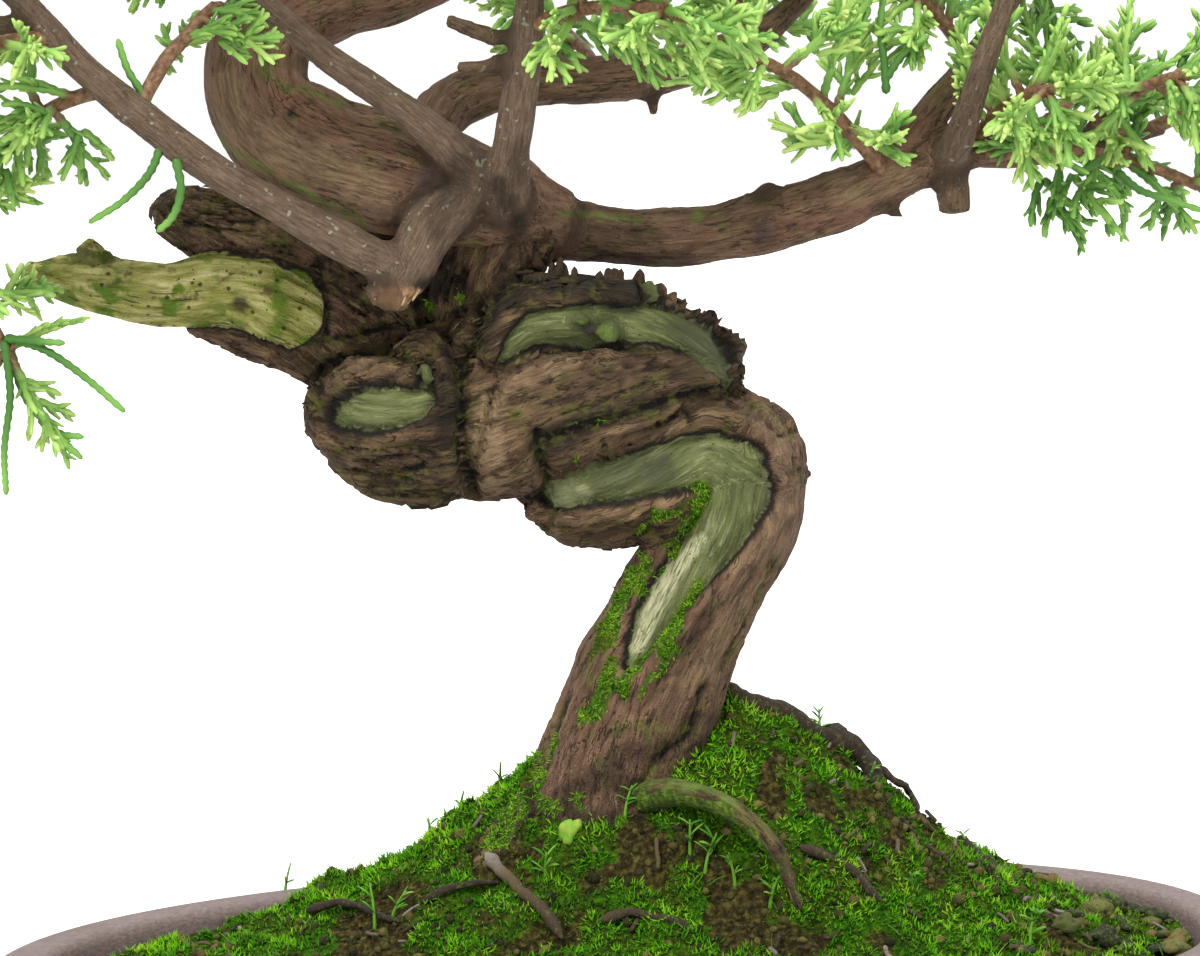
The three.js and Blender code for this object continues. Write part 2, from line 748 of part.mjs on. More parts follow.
function makeSpray(name, [root, end, shoots]) {
  const mesh = { points: [], faces: [] };
  const from = vec(...root);
  const to = vec(...end);
  const reach = from.distanceTo(to);
  const bend = from.clone().lerp(to, 0.5).add(vec(0, 0, TWIG.arch * reach));
  const path = new THREE.QuadraticBezierCurve3(from, bend, to);
  const steps = Math.max(3, Math.round(reach / TWIG.step));
  const centres = path.getPoints(steps);
  const radii = centres.map((_, i) => THREE.MathUtils.lerp(TWIG.root, TWIG.tip, i / steps));
  const forward = path.getTangent(0);
  const level = vec(-forward.y, forward.x, 0).normalize();
  const over = forward.clone().cross(level);
  for (let k = 0; k < 3; k += 1) {
    const angle = (k * 2 * Math.PI) / 3;
    mesh.points.push(
      from
        .clone()
        .addScaledVector(level, TWIG.root * Math.cos(angle))
        .addScaledVector(over, TWIG.root * Math.sin(angle)),
    );
  }
  mesh.faces.push([2, 1, 0]);
  const { stretches, ring } = growStem(mesh, [0, 1, 2], centres, radii);
  const twig = `${name} twig`;
  for (let i = 1; i < steps; i += 1) {
    take(twig, centres[i], centres[i + 1], TWIG.root);
  }
  const ahead = path.getTangent(1);
  growShoot(mesh, ring, to, ahead, SHOOT.longest, twig);
  for (let i = 0; i + 1 < shoots; i += 1) {
    const stretch = stretches[Math.min(steps - 1, 1 + Math.floor(((steps - 1) * i) / (shoots - 1)))];
    const owner = `${name} ${i}`;
    for (let tries = 0; tries < SHOOT.tries && stretch.length > 0; tries += 1) {
      const round = i * SHOOT.turn + random(-SHOOT.sway, SHOOT.sway) + tries * SHOOT.retryTurn;
      const length = random(SHOOT.shortest, SHOOT.longest);
      const outward = level.clone().multiplyScalar(Math.cos(round));
      outward.addScaledVector(over, -Math.sin(round)).addScaledVector(ahead, SHOOT.forward).normalize();
      const quad = stretch.reduce((best, other) =>
        quadNormal(mesh, other).dot(outward) > quadNormal(mesh, best).dot(outward) ? other : best,
      );
      const [a, b, c, d] = quad;
      const start = vec();
      [a, b, c].forEach((index) => start.addScaledVector(mesh.points[index], 1 / 3));
      const tip = start.clone().addScaledVector(outward, length).add(vec(0, 0, CORD.droop * length));
      const facing = quadNormal(mesh, quad).dot(outward);
      if (facing > SHOOT.facing && isClear(start.clone().lerp(tip, 0.15), tip, CORD.room, [twig])) {
        growShoot(mesh, [a, b, c], start, outward, length, owner);
        mesh.faces.push([a, c, d]);
        stretch.splice(stretch.indexOf(quad), 1);
        break;
      }
    }
  }
  stretches.flat().forEach((quad) => closeQuad(mesh, quad));
  return solid(closedMesh(mesh.points, mesh.faces));
}

// Materials
const clay = new THREE.MeshStandardMaterial({ color: 0x75605c, roughness: 0.6, metalness: 0 });
const earth = new THREE.MeshStandardMaterial({ color: 0x3f4a1d, roughness: 1, metalness: 0 });
const bark = new THREE.MeshStandardMaterial({ color: 0x6b5347, roughness: 0.9, metalness: 0 });
const leaf = new THREE.MeshStandardMaterial({ color: 0x4f8a32, roughness: 0.7, metalness: 0 });

function named(name, geometry, material) {
  const mesh = new THREE.Mesh(geometry, material);
  mesh.name = name;
  return mesh;
}

for (const points of [...COIL.map((piece) => piece.points), LEADER, JIN, ...Object.values(BRANCHES)]) {
  const frames = curveFrames(points, 8);
  for (let i = 0; i + 1 < frames.length; i += 1) {
    take("wood", frames[i].centre, frames[i + 1].centre, Math.max(frames[i].radius, frames[i + 1].radius));
  }
}

const trunk = makeTrunk(0);
const trunkRoom = makeTrunk(GAP);
const bonsai = new THREE.Group();
const tree = new THREE.Group();
tree.applyMatrix4(treeToPot);
bonsai.add(named("pot", geometryOf(makePot()), clay));
bonsai.add(named("soil", geometryOf(makeSoil(trunkRoom.transform(treeToPot.elements))), earth));
tree.add(named("trunk", geometryOf(trunk), bark));
for (const [name, spray] of Object.entries(SPRAYS)) {
  const foliage = largest(makeSpray(name, spray).subtract(trunkRoom));
  tree.add(named(`spray_${name}`, geometryOf(foliage), leaf));
}
bonsai.add(tree);

// The origin is under the middle of the whole plant, on the surface that the pot stands on
const bounds = new THREE.Box3().setFromObject(bonsai, true);
const middle = bounds.getCenter(vec());
bonsai.position.set(-middle.x, -middle.y, -bounds.min.z);

export default bonsai;
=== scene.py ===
"""Looks for the itoigawa juniper bonsai: bark, deadwood, cord foliage, a mossy root mound and a clay pot.

Lengths in the lists are millimetres along the tree's own axes: x to the right and z up as the photograph
shows it, y away from the camera. The frame is in metres, so MM turns one into the other.
"""
import json
import math

import bmesh
import bpy
import numpy as np
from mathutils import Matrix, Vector

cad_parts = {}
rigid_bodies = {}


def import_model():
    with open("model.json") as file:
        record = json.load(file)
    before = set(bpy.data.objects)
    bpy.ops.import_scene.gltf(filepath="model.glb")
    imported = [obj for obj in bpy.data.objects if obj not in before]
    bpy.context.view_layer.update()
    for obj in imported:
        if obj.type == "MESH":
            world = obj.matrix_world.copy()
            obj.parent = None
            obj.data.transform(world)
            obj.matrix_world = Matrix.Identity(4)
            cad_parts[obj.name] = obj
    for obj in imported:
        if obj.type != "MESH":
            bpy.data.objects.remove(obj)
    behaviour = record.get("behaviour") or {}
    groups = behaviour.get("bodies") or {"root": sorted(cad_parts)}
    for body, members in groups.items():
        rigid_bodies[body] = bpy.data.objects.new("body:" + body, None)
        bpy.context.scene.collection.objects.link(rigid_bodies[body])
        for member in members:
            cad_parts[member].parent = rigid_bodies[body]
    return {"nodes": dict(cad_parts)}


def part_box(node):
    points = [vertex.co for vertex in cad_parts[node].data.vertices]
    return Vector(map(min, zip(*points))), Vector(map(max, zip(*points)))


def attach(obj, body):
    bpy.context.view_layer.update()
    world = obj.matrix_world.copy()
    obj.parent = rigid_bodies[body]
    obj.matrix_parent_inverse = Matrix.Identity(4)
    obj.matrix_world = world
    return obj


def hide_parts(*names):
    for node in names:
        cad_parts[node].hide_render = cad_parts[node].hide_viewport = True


MM = 0.001
TREE_TURN = math.radians(-15)
TREE_STANDS = (-6, 18, 0)
CAMERA = {"distance": 550, "elevation": math.radians(6), "height": 124, "lens": 99}
PHOTO = (1200, 956)
PIXELS_PER_MM = 6
SOIL_LEVEL = 45.5
MOUND = {"x": 17, "y": 7, "front": 1.35, "back": 2, "left": 0.93}
MOUND_PROFILE = [(0, 44), (9, 40), (20, 33), (32, 25), (44, 14.5), (58, 7.5), (76, 1.5), (100, 0)]
POT = {"length": 107, "width": 60, "rim": 50, "foot": 6, "floor": 14, "squareness": 2.2}
DRAIN = {"radius": 6.5, "across": 40, "height": 12}
COUNTS = {
    "flakes": 1500, "mound_moss": 28500, "trunk_moss": 9000, "pebbles": 230, "crumbs": 1400, "grass": 70,
    "chips": 150, "extra_stems": 8,
}
FULL_TURN = 2 * math.pi

for old in list(bpy.data.objects):
    bpy.data.objects.remove(old)
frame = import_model()
bpy.context.view_layer.update()

LIMBS = {
    "coil_rise": [
        (5, 4, 46, 17), (3.2, 2, 66, 17.5), (4.5, 1, 77.8, 14.9), (7.6, 0, 88.2, 12.4),
        (12.8, 0, 99.2, 11.2), (17.6, 0, 108.5, 11.2), (21.8, 0, 117.5, 11.5), (23.5, 0, 127, 11),
    ],
    "coil_first_arm": [
        (23.2, 0, 126, 11.2), (16, -1, 129.4, 10.5), (8, -3, 125.3, 10.1), (0.3, -4, 121.8, 9.6),
        (-2.8, -3, 121, 8.8),
    ],
    "coil_behind_left": [
        (-2.5, -1, 121.5, 8.1), (-4.6, 5, 123, 7.6), (-7.5, 13, 126, 8.4),
    ],
    "coil_behind": [
        (-8, 12, 125.5, 8.6), (1.7, 19, 131.9, 9.4), (12, 17, 138.2, 8.4), (17, 11, 140.8, 7.2),
    ],
    "coil_behind_right": [
        (17, 11, 140.8, 7), (16.6, 4, 143, 6.2), (12.5, -1, 146, 6),
    ],
    "coil_upper": [
        (15.5, 0, 144, 5.6), (10, -4.5, 147.6, 6.1), (1.6, -7, 150.6, 7.1), (-9.8, -6, 150.4, 8.2),
        (-17, -3, 145.5, 9),
    ],
    "coil_roll": [
        (18, -2, 140.5, 4.6), (10, -6, 140, 6.8), (-1.6, -7.5, 137, 9.4), (-11.5, -6, 133.5, 10.8),
        (-19, -3, 130.4, 11),
    ],
    "coil_left": [
        (-17, -1, 137.5, 12), (-28.1, -3, 134, 14.4), (-35, -3, 133.6, 12.5), (-38.6, 0, 135, 9.8),
    ],
    "coil_shoulder": [
        (-37.5, 3, 136, 10.5), (-39.5, 10, 142, 10), (-36, 13, 149.5, 10), (-28.9, 12, 156.3, 10),
        (-19.2, 8, 162.5, 9), (-13.4, 4, 166, 8),
    ],
    "coil_filling": [
        (-20, 3, 146, 10), (-19, 4, 157, 8.8), (-15, 4, 165.6, 8),
    ],
    "coil_filling_low": [
        (-28, 6, 158, 5), (-34, 4, 160.6, 4.8), (-41, 3, 162, 4.2),
    ],
    "leader": [
        (-9.2, 4, 166.8, 6.6), (-14, 3, 168.1, 8.7), (-23.3, 0, 171, 9.4), (-34.8, -2, 174.1, 9.8),
        (-47, -2, 178.2, 10), (-55, -1, 184.8, 9.3), (-56.4, 1, 192.6, 8.7), (-53.4, 3, 199.2, 8.2),
        (-46, 5, 203, 7.4), (-34.9, 7, 205.8, 6.6), (-24.5, 8, 210.3, 5.7), (-18, 7, 217.6, 4.8),
        (-18.5, 4, 226, 3.6), (-23, 1, 233, 2.2),
    ],
    "jin": [
        (-42.6, 4, 145.9, 7.5), (-51.5, 1, 152.2, 6.8), (-61.2, -1, 155.6, 6), (-71.8, -2, 155, 5.5),
        (-80.7, -3, 156.2, 4.9), (-88.1, -3, 157.2, 4), (-92.6, -3, 157.8, 2.9),
    ],
    "bark_spur": [
        (-33.8, 10, 148.1, 9), (-43.8, 9, 154.9, 9), (-55.3, 7, 161.9, 8.4), (-66, 5, 165.8, 6.8),
        (-70, 4, 167.4, 4.8),
    ],
    "jin_lip": [
        (-44, 4, 141, 4), (-53.2, 1, 145.6, 3.8), (-60.6, 0, 147.9, 3), (-66.7, 0, 149.5, 2),
    ],
    "right": [
        (-15, 4, 165.9, 6), (-5, 5, 165.1, 5.2), (6.7, 5, 164.1, 4.9), (16.7, 4, 164.3, 4.8),
        (28.3, 3, 166.6, 5.2), (39.8, 2, 170, 5.2), (49.7, 2, 174.4, 4.2), (59.7, 3, 178.4, 3.5),
        (69.8, 4, 177.8, 2.6), (81.6, 5, 179.5, 2), (93.2, 5, 182, 1.4),
    ],
    "right_rising": [
        (46.4, 2, 173.8, 3.6), (53.9, 4, 183.3, 3.2), (60.7, 6, 190.8, 2.7), (66.7, 8, 199.9, 2.1),
        (71.7, 9, 209.9, 1.4),
    ],
    "right_upright": [
        (57.5, 2, 176.4, 3), (58.6, -5, 180.5, 2.5), (59.6, -10, 185, 2.3), (61.5, -16, 192.8, 2.1),
        (63.9, -20, 201.3, 1.8), (64.8, -21, 206.5, 1.3),
    ],
    "back": [
        (-29.9, 4, 178.4, 5), (-25.2, 10, 185.9, 4.5), (-13.5, 15, 189.8, 4.1), (0, 19, 190.2, 4.1),
        (13.7, 22, 192.2, 3.8), (25.7, 24, 196.7, 3), (34.4, 26, 203.9, 2.1), (43.1, 28, 212.5, 1.4),
    ],
    "front_high": [
        (-18, -4, 171.1, 4.8), (-25.8, -12, 180.1, 3.1), (-34.4, -16, 186.9, 2.6), (-42.9, -19, 192.9, 2.4),
        (-49.7, -22, 198.6, 2.3), (-56.4, -25, 203.8, 2.2), (-63.8, -28, 209.5, 1.9),
        (-72.7, -30, 214, 1.4),
    ],
    "front_knuckle": [
        (-22, -4, 172.5, 5), (-28.2, -13, 164.8, 4.6), (-31.5, -16, 158.1, 3.8),
        (-32.9, -17, 154.6, 2.4),
    ],
    "front_low": [
        (-30.9, -15, 158.5, 3.4), (-39.6, -19, 163, 3.3), (-51.4, -23, 169.8, 2.9), (-60, -26.5, 175, 2.8),
        (-70.1, -30, 182.8, 2.8), (-81, -34, 192.4, 2.5), (-88.8, -37, 201.5, 2.1),
        (-97.3, -40, 207.4, 1.4),
    ],
    "front_upright": [
        (-16.3, -4, 170.1, 5), (-14.5, -12, 178.5, 3.2), (-12.8, -15, 188, 3), (-11.5, -17, 197.5, 2.7),
        (-11.1, -18, 206.9, 2.1), (-12.7, -18, 214.7, 1.4),
    ],
    "hanging": [
        (-85.5, -35.5, 197.5, 1.8), (-98, -33, 197, 1.6), (-110, -29, 189, 1.5), (-116, -27, 177, 1.3),
    ],
    "arched_root": [
        (5, -8, 70.5, 3.4), (13, -19, 74.6, 2.3), (20.9, -25, 73.2, 2.0), (27.8, -30, 67.8, 1.7),
        (31.6, -33, 59, 1.0),
    ],
    "right_root": [
        (12, 2, 80, 9), (22, 5, 76, 7.5), (34, 8, 66, 5.5), (44, 10, 55, 4),
    ],
    "left_root": [
        (0, 0, 72, 9), (-9, -3, 66, 7), (-18, -7, 58, 5),
    ],
}

# Cut and torn ends: from, to, radius at the root, radius at the end
STUBS = [
    ((58, 2, 177), (58.8, 2, 168), 3, 2.7),
    ((30, 3, 167), (27, 2, 172.5), 2.4, 1.9),
    ((44, 2, 171), (50.5, 1, 167.2), 2.4, 0.5),
    ((9, 20, 190), (9, 20, 184), 1.5, 1),
    ((0, -9, 150.5), (1.6, -14.5, 149.2), 2.9, 2.0),
    ((7.8, -6, 150.5), (8, -10.5, 156.5), 2.1, 1.4),
    ((-28, -12, 137), (-28.2, -15, 144), 2, 1),
    ((-81, -3, 158), (-85, -3, 163), 3, 1.6),
    ((-16, -17, 196), (-24.5, -17, 199), 1.7, 1.2),
    ((-14, -16, 192), (-23, -16, 191.5), 1.5, 1.1),
    ((-1, -11, 150.5), (-3.4, -14.8, 151.4), 1.9, 1.1),
    ((-32, -15.5, 158.5), (-36.5, -17, 154.6), 3.4, 2.6),
]

# Each spray's twig: where it leaves the branch and where it ends
TWIGS = {
    "right_tip": ((91, 5, 181.5), (112, 2, 186)),
    "right_trailing": ((64, 1, 177.5), (98, -4, 172.5)),
    "right_front": ((80, 5, 179.5), (92, -18, 190)),
    "right_back": ((72, 4.5, 178), (86, 25, 190)),
    "right_over": ((61, 3, 178.5), (71, -20, 188)),
    "right_inner": ((47, 0, 174), (24, -24, 193)),
    "right_crown": ((71, 9, 208.5), (86, 12, 218)),
    "right_crown_front": ((62, 6.5, 193), (46, -9, 206)),
    "right_crown_back": ((67, 8, 200.5), (78, 28, 209)),
    "apex": ((-22.5, 1, 231), (-28, -4, 242)),
    "apex_right": ((-18, 5, 223), (-1, 10, 235)),
    "apex_front": ((-18, 6, 219), (-5, -13, 230)),
    "apex_left": ((-22, 8, 213.5), (-39, -6, 227)),
    "apex_back": ((-18.3, 6, 221), (-34, 24, 232)),
    "leader_left": ((-38, 7, 208), (-52, 14, 222)),
    "back_tip": ((42, 28, 211.5), (54, 36, 221)),
    "back_low": ((25, 24, 196.5), (24, 44, 205)),
    "back_rise": ((34, 26, 203.5), (27, 8, 215)),
    "back_inner": ((0, 19, 190.5), (-10, 40, 201)),
    "front_crown": ((-11, -18, 207.5), (6, -33, 216)),
    "front_fall": ((-11.5, -17, 197.5), (12, -39, 199)),
    "front_tip": ((-12.6, -18, 213.5), (-24, -29, 225)),
    "left_crown": ((-71.5, -30, 213.5), (-90, -30, 221)),
    "left_crown_front": ((-63, -28, 209), (-62, -46, 217)),
    "left_crown_back": ((-56.5, -25, 204), (-72, -6, 216)),
    "left_tip": ((-96, -39.5, 206.5), (-112, -46, 208)),
    "left_side": ((-84, -35, 195.5), (-100, -49, 190)),
    "left_low": ((-76, -32, 188), (-96, -24, 178)),
    "left_twig": ((-72, -31, 184.5), (-60, -27, 201)),
    "left_hanging": ((-116, -27, 178), (-94, -25, 147)),
}

# Places
pot_low, pot_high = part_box("pot")
SHIFT = np.array([*((Vector(pot_low) + Vector(pot_high)) / 2 / MM).xy, 0])


def turned(points, angle):
    """Points turned round the upright axis."""
    p = np.asarray(points, float)
    c, s = math.cos(angle), math.sin(angle)
    return np.stack([c * p[..., 0] - s * p[..., 1], s * p[..., 0] + c * p[..., 1], p[..., 2]], -1)


def to_world(points):
    """Tree axes in mm to the frame in metres."""
    return (turned(np.asarray(points, float) + TREE_STANDS, TREE_TURN) + SHIFT) * MM


def to_tree(points):
    """The frame in metres to tree axes in mm."""
    return turned(np.asarray(points, float) / MM - SHIFT, -TREE_TURN) - TREE_STANDS


def pot_to_world(points):
    """The pot's own axes in mm to the frame in metres."""
    return (np.asarray(points, float) + SHIFT) * MM


def tree_to_pot(points):
    return to_world(points) / MM - SHIFT


def pot_to_tree(points):
    return to_tree(pot_to_world(points))


def seen_at(points):
    """Where the photograph shows points given in tree axes, in its pixels."""
    e = CAMERA["elevation"]
    up_from = points[..., 2] - CAMERA["height"]
    depth = CAMERA["distance"] + points[..., 1] * math.cos(e) - up_from * math.sin(e)
    up = up_from * math.cos(e) + points[..., 1] * math.sin(e)
    scale = PIXELS_PER_MM * CAMERA["distance"] / depth
    return np.stack([PHOTO[0] / 2 + points[..., 0] * scale, PHOTO[1] / 2 - up * scale], -1)


def on_photo(u, v, y):
    """The point at depth y that the photograph shows at a pixel."""
    across, up = (u - PHOTO[0] / 2) / PIXELS_PER_MM, (PHOTO[1] / 2 - v) / PIXELS_PER_MM
    guess = np.array([across, y, CAMERA["height"] + up])
    for _ in range(4):
        error = (seen_at(guess[None])[0] - (u, v)) / PIXELS_PER_MM
        guess -= (error[0], 0, -error[1])
    return guess


# Numbers with a smooth random pattern
def hashed(x, y, z, seed):
    """A number from 0 to 1 for each place on a whole grid."""
    h = (x * 374761393 + y * 668265263 + z * 1274126177 + seed * 974634777) & 0xFFFFFFFF
    h = ((h ^ (h >> 13)) * 1103515245) & 0xFFFFFFFF
    return ((h ^ (h >> 16)) & 0xFFFF) / 65535.0


def wave(points, seed):
    """Smooth noise between -1 and 1 with lumps about one unit wide, another for each seed."""
    base = np.floor(points).astype(np.int64)
    f = points - base
    f = f * f * (3 - 2 * f)
    total = 0.0
    for dx in (0, 1):
        for dy in (0, 1):
            for dz in (0, 1):
                weight = np.prod(np.where(np.array([dx, dy, dz]), f, 1 - f), -1)
                total = total + weight * hashed(base[:, 0] + dx, base[:, 1] + dy, base[:, 2] + dz, seed)
    return 2 * total - 1


def rough(points, octaves, seed):
    """Noise with finer noise on it, between -1 and 1."""
    total, size, norm = 0.0, 1.0, 0.0
    for i in range(octaves):
        total = total + size * wave(points * 2.0**i + 17.3 * i, seed + i)
        norm += size
        size /= 2
    return total / norm


def smooth(low, high, value):
    t = np.clip((value - low) / (high - low), 0, 1)
    return t * t * (3 - 2 * t)


# Curves as the solids have them
def spline(points, count):
    """Points along a smooth curve through the given ones, even in the curve's own parameter."""
    p = np.array(points, float)
    p = np.vstack([2 * p[0] - p[1], p, 2 * p[-1] - p[-2]])
    out = []
    for t in np.linspace(0, len(points) - 1, count):
        i = min(int(t), len(points) - 2)
        w = t - i
        p0, p1, p2, p3 = p[i : i + 4]
        d0, d1, d2 = (math.sqrt(np.linalg.norm(b - a)) for a, b in ((p0, p1), (p1, p2), (p2, p3)))
        m1 = ((p1 - p0) / d0 - (p2 - p0) / (d0 + d1) + (p2 - p1) / d1) * d1
        m2 = ((p2 - p1) / d1 - (p3 - p1) / (d1 + d2) + (p3 - p2) / d2) * d1
        out.append(p1 + m1 * w + (3 * (p2 - p1) - 2 * m1 - m2) * w**2 + (2 * (p1 - p2) + m1 + m2) * w**3)
    return np.array(out)


def frames_along(path, first_normal=(0, -1, 0)):
    """Tangent, normal and side at each point of a path, without twist."""
    tangent = np.gradient(path, axis=0)
    tangent /= np.linalg.norm(tangent, axis=1)[:, None]
    normal = np.empty_like(tangent)
    n = np.array(first_normal, float)
    for i, t in enumerate(tangent):
        n = n - t * n.dot(t)
        if np.linalg.norm(n) < 1e-6:
            n = np.cross(t, (0.3, 0.5, 0.8))
        n /= np.linalg.norm(n)
        normal[i] = n
    return tangent, normal, np.cross(tangent, normal)


# Meshes
class Shape:
    """Gathers points, faces and numbers for each point, and makes one object of them."""

    def __init__(self):
        self.points, self.faces, self.values, self.count = [], [], {}, 0

    def add(self, points, faces, **values):
        self.points.append(np.asarray(points, float))
        self.faces.append(np.asarray(faces, int) + self.count)
        for name, value in values.items():
            filled = np.broadcast_to(np.asarray(value, float), (len(points),))
            self.values.setdefault(name, []).append(filled)
        self.count += len(points)

    def make(self, name, material, slot, *replaced, put=to_world):
        """The object, with its points put into the frame from the tree's axes or from others."""
        mesh = bpy.data.meshes.new(name)
        sizes = np.concatenate([np.full(len(f), f.shape[1]) for f in self.faces])
        corners = np.concatenate([f.ravel() for f in self.faces])
        mesh.vertices.add(self.count)
        mesh.vertices.foreach_set("co", put(np.vstack(self.points)).ravel())
        mesh.loops.add(len(corners))
        mesh.loops.foreach_set("vertex_index", corners)
        mesh.polygons.add(len(sizes))
        mesh.polygons.foreach_set("loop_start", np.concatenate([[0], np.cumsum(sizes)[:-1]]))
        mesh.polygons.foreach_set("use_smooth", np.ones(len(sizes), bool))
        mesh.update(calc_edges=True)
        for key, parts in self.values.items():
            mesh.attributes.new(key, "FLOAT", "POINT").data.foreach_set("value", np.concatenate(parts))
        return place(bpy.data.objects.new(name, mesh), material, slot, *replaced)


def place(piece, material, slot, *replaced):
    """Puts a finished piece on the object's one body."""
    bpy.context.scene.collection.objects.link(piece)
    piece.data.materials.append(material)
    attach(piece, "root")
    if replaced:
        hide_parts(*replaced)
    return piece


def ring_faces(count, sides):
    """Triangles of a closed stack of rings whose two poles come last."""
    i = np.arange(sides)
    j = (i + 1) % sides
    faces = []
    for k in range(count - 1):
        a, b = k * sides + i, k * sides + j
        faces += [np.stack([a, b, b + sides], 1), np.stack([a, b + sides, a + sides], 1)]
    pole, last = count * sides, (count - 1) * sides
    faces += [np.stack([np.full(sides, pole), j, i], 1)]
    faces += [np.stack([np.full(sides, pole + 1), last + i, last + j], 1)]
    return np.vstack(faces)


def ways_round(angle, normal, side, flat=1.0):
    """Directions from a path to the points of a ring round each of its places."""
    c, s = np.cos(angle)[None, :, None], np.sin(angle)[None, :, None]
    return c * normal[:, None] + flat * s * side[:, None]


def tube(path, radii, sides, flat=1.0, turn=0.0):
    """Points and triangles of a closed tube round a path."""
    tangent, normal, side = frames_along(path, (0.1, -1, 0.2))
    angle = np.linspace(0, FULL_TURN, sides, endpoint=False) + turn
    out = ways_round(angle, normal, side, flat) * np.asarray(radii)[:, None, None]
    points = (path[:, None] + out).reshape(-1, 3)
    ends = np.vstack([path[0] - tangent[0] * radii[0] * 0.6, path[-1] + tangent[-1] * radii[-1] * 0.8])
    return np.vstack([points, ends]), ring_faces(len(path), sides)


# Node trees
def linear(r, g, b):
    """A colour given in 0 to 255 as the eye sees it."""
    light = (v / 255 / 12.92 if v < 10.3 else ((v / 255 + 0.055) / 1.055) ** 2.4 for v in (r, g, b))
    return (*light, 1)


class Paint:
    """A material, and short calls for its nodes."""

    def __init__(self, name, roughness, specular):
        self.material = bpy.data.materials.new(name)
        self.material.use_nodes = True
        self.tree = self.material.node_tree
        self.shader = self.tree.nodes["Principled BSDF"]
        self.shader.inputs["Roughness"].default_value = roughness
        self.shader.inputs["Specular IOR Level"].default_value = specular

    def node(self, kind, settings=None, **inputs):
        node = self.tree.nodes.new("ShaderNode" + kind)
        for key, value in (settings or {}).items():
            setattr(node, key, value)
        for key, value in inputs.items():
            self.set(node.inputs[key.replace("_", " ")], value)
        return node

    def set(self, socket, value):
        if isinstance(value, bpy.types.NodeSocket):
            self.tree.links.new(value, socket)
        else:
            socket.default_value = value

    def value(self, name, output="Fac"):
        return self.node("Attribute", {"attribute_name": name}).outputs[output]

    def stretched(self, found, stretch):
        scaled = self.node("VectorMath", {"operation": "MULTIPLY"})
        self.set(scaled.inputs[0], found)
        self.set(scaled.inputs[1], stretch)
        return scaled.outputs[0]

    def fibre(self, stretch):
        """Places on the wood, drawn out along its fibres."""
        return self.stretched(self.value("fibre", "Vector"), (1, 1, stretch))

    def place(self, stretch=1):
        """Places in mm, squeezed upwards."""
        return self.stretched(self.node("TexCoord").outputs["Object"], (1 / MM, 1 / MM, stretch / MM))

    def noise(self, scale, detail=4.0, roughness=0.55, at=None):
        at = self.place() if at is None else at
        noise = self.node("TexNoise", Vector=at, Scale=scale, Detail=detail, Roughness=roughness)
        return noise.outputs["Fac"]

    def cells(self, scale):
        return self.node("TexVoronoi", Vector=self.place(), Scale=scale).outputs["Distance"]

    def math(self, operation, a, b=0.0, clamp=False):
        node = self.node("Math", {"operation": operation, "use_clamp": clamp})
        self.set(node.inputs[0], a)
        self.set(node.inputs[1], b)
        return node.outputs[0]

    def times(self, a, b, clamp=False):
        return self.math("MULTIPLY", a, b, clamp)

    def plus(self, a, b):
        return self.math("ADD", a, b)

    def minus(self, a, b):
        return self.math("SUBTRACT", a, b)

    def step(self, value, low, high):
        node = self.node("MapRange", {"interpolation_type": "SMOOTHSTEP"}, Value=value)
        node.inputs["From Min"].default_value = low
        node.inputs["From Max"].default_value = high
        return node.outputs["Result"]

    def ramp(self, value, *stops):
        node = self.node("ValToRGB", Fac=value)
        elements = node.color_ramp.elements
        while len(elements) < len(stops):
            elements.new(0.5)
        for element, (at, colour) in zip(elements, stops):
            element.position = at
            element.color = linear(*colour)
        return node.outputs["Color"]

    def over(self, colour, *layers):
        """A colour with others laid on it, each as (how much shows, colour, share of that)."""
        for amount, top, *share in layers:
            node = self.node("Mix", {"data_type": "RGBA"})
            self.set(node.inputs[0], self.times(amount, *share) if share else amount)
            for socket, tint in ((node.inputs[6], colour), (node.inputs[7], top)):
                self.set(socket, linear(*tint) if isinstance(tint, tuple) else tint)
            colour = node.outputs[2]
        return colour

    def finish(self, colour, height, distance, strength=1.0, roughness=None):
        """The material, with relief of a depth in mm."""
        self.set(self.shader.inputs["Base Color"], colour)
        if roughness is not None:
            self.set(self.shader.inputs["Roughness"], roughness)
        bump = self.node("Bump", Height=height, Distance=distance * MM, Strength=strength)
        self.set(self.shader.inputs["Normal"], bump.outputs["Normal"])
        return self.material


def toned_paint(name, roughness, specular, tones, speckle, film, depth, relief=None):
    """Paint by the tone of each point, with a film of another colour over it where a noise is high.

    The speckle and the relief are noises as (scale, detail, roughness).
    The film is (low, high, colour, share).
    """
    p = Paint(name, roughness, specular)
    spotty = p.noise(*speckle)
    low, high, tint, *share = film
    colour = p.over(p.ramp(p.value("tone"), *tones), (p.step(spotty, low, high), tint, *share))
    return p.finish(colour, p.noise(*relief) if relief else spotty, depth)


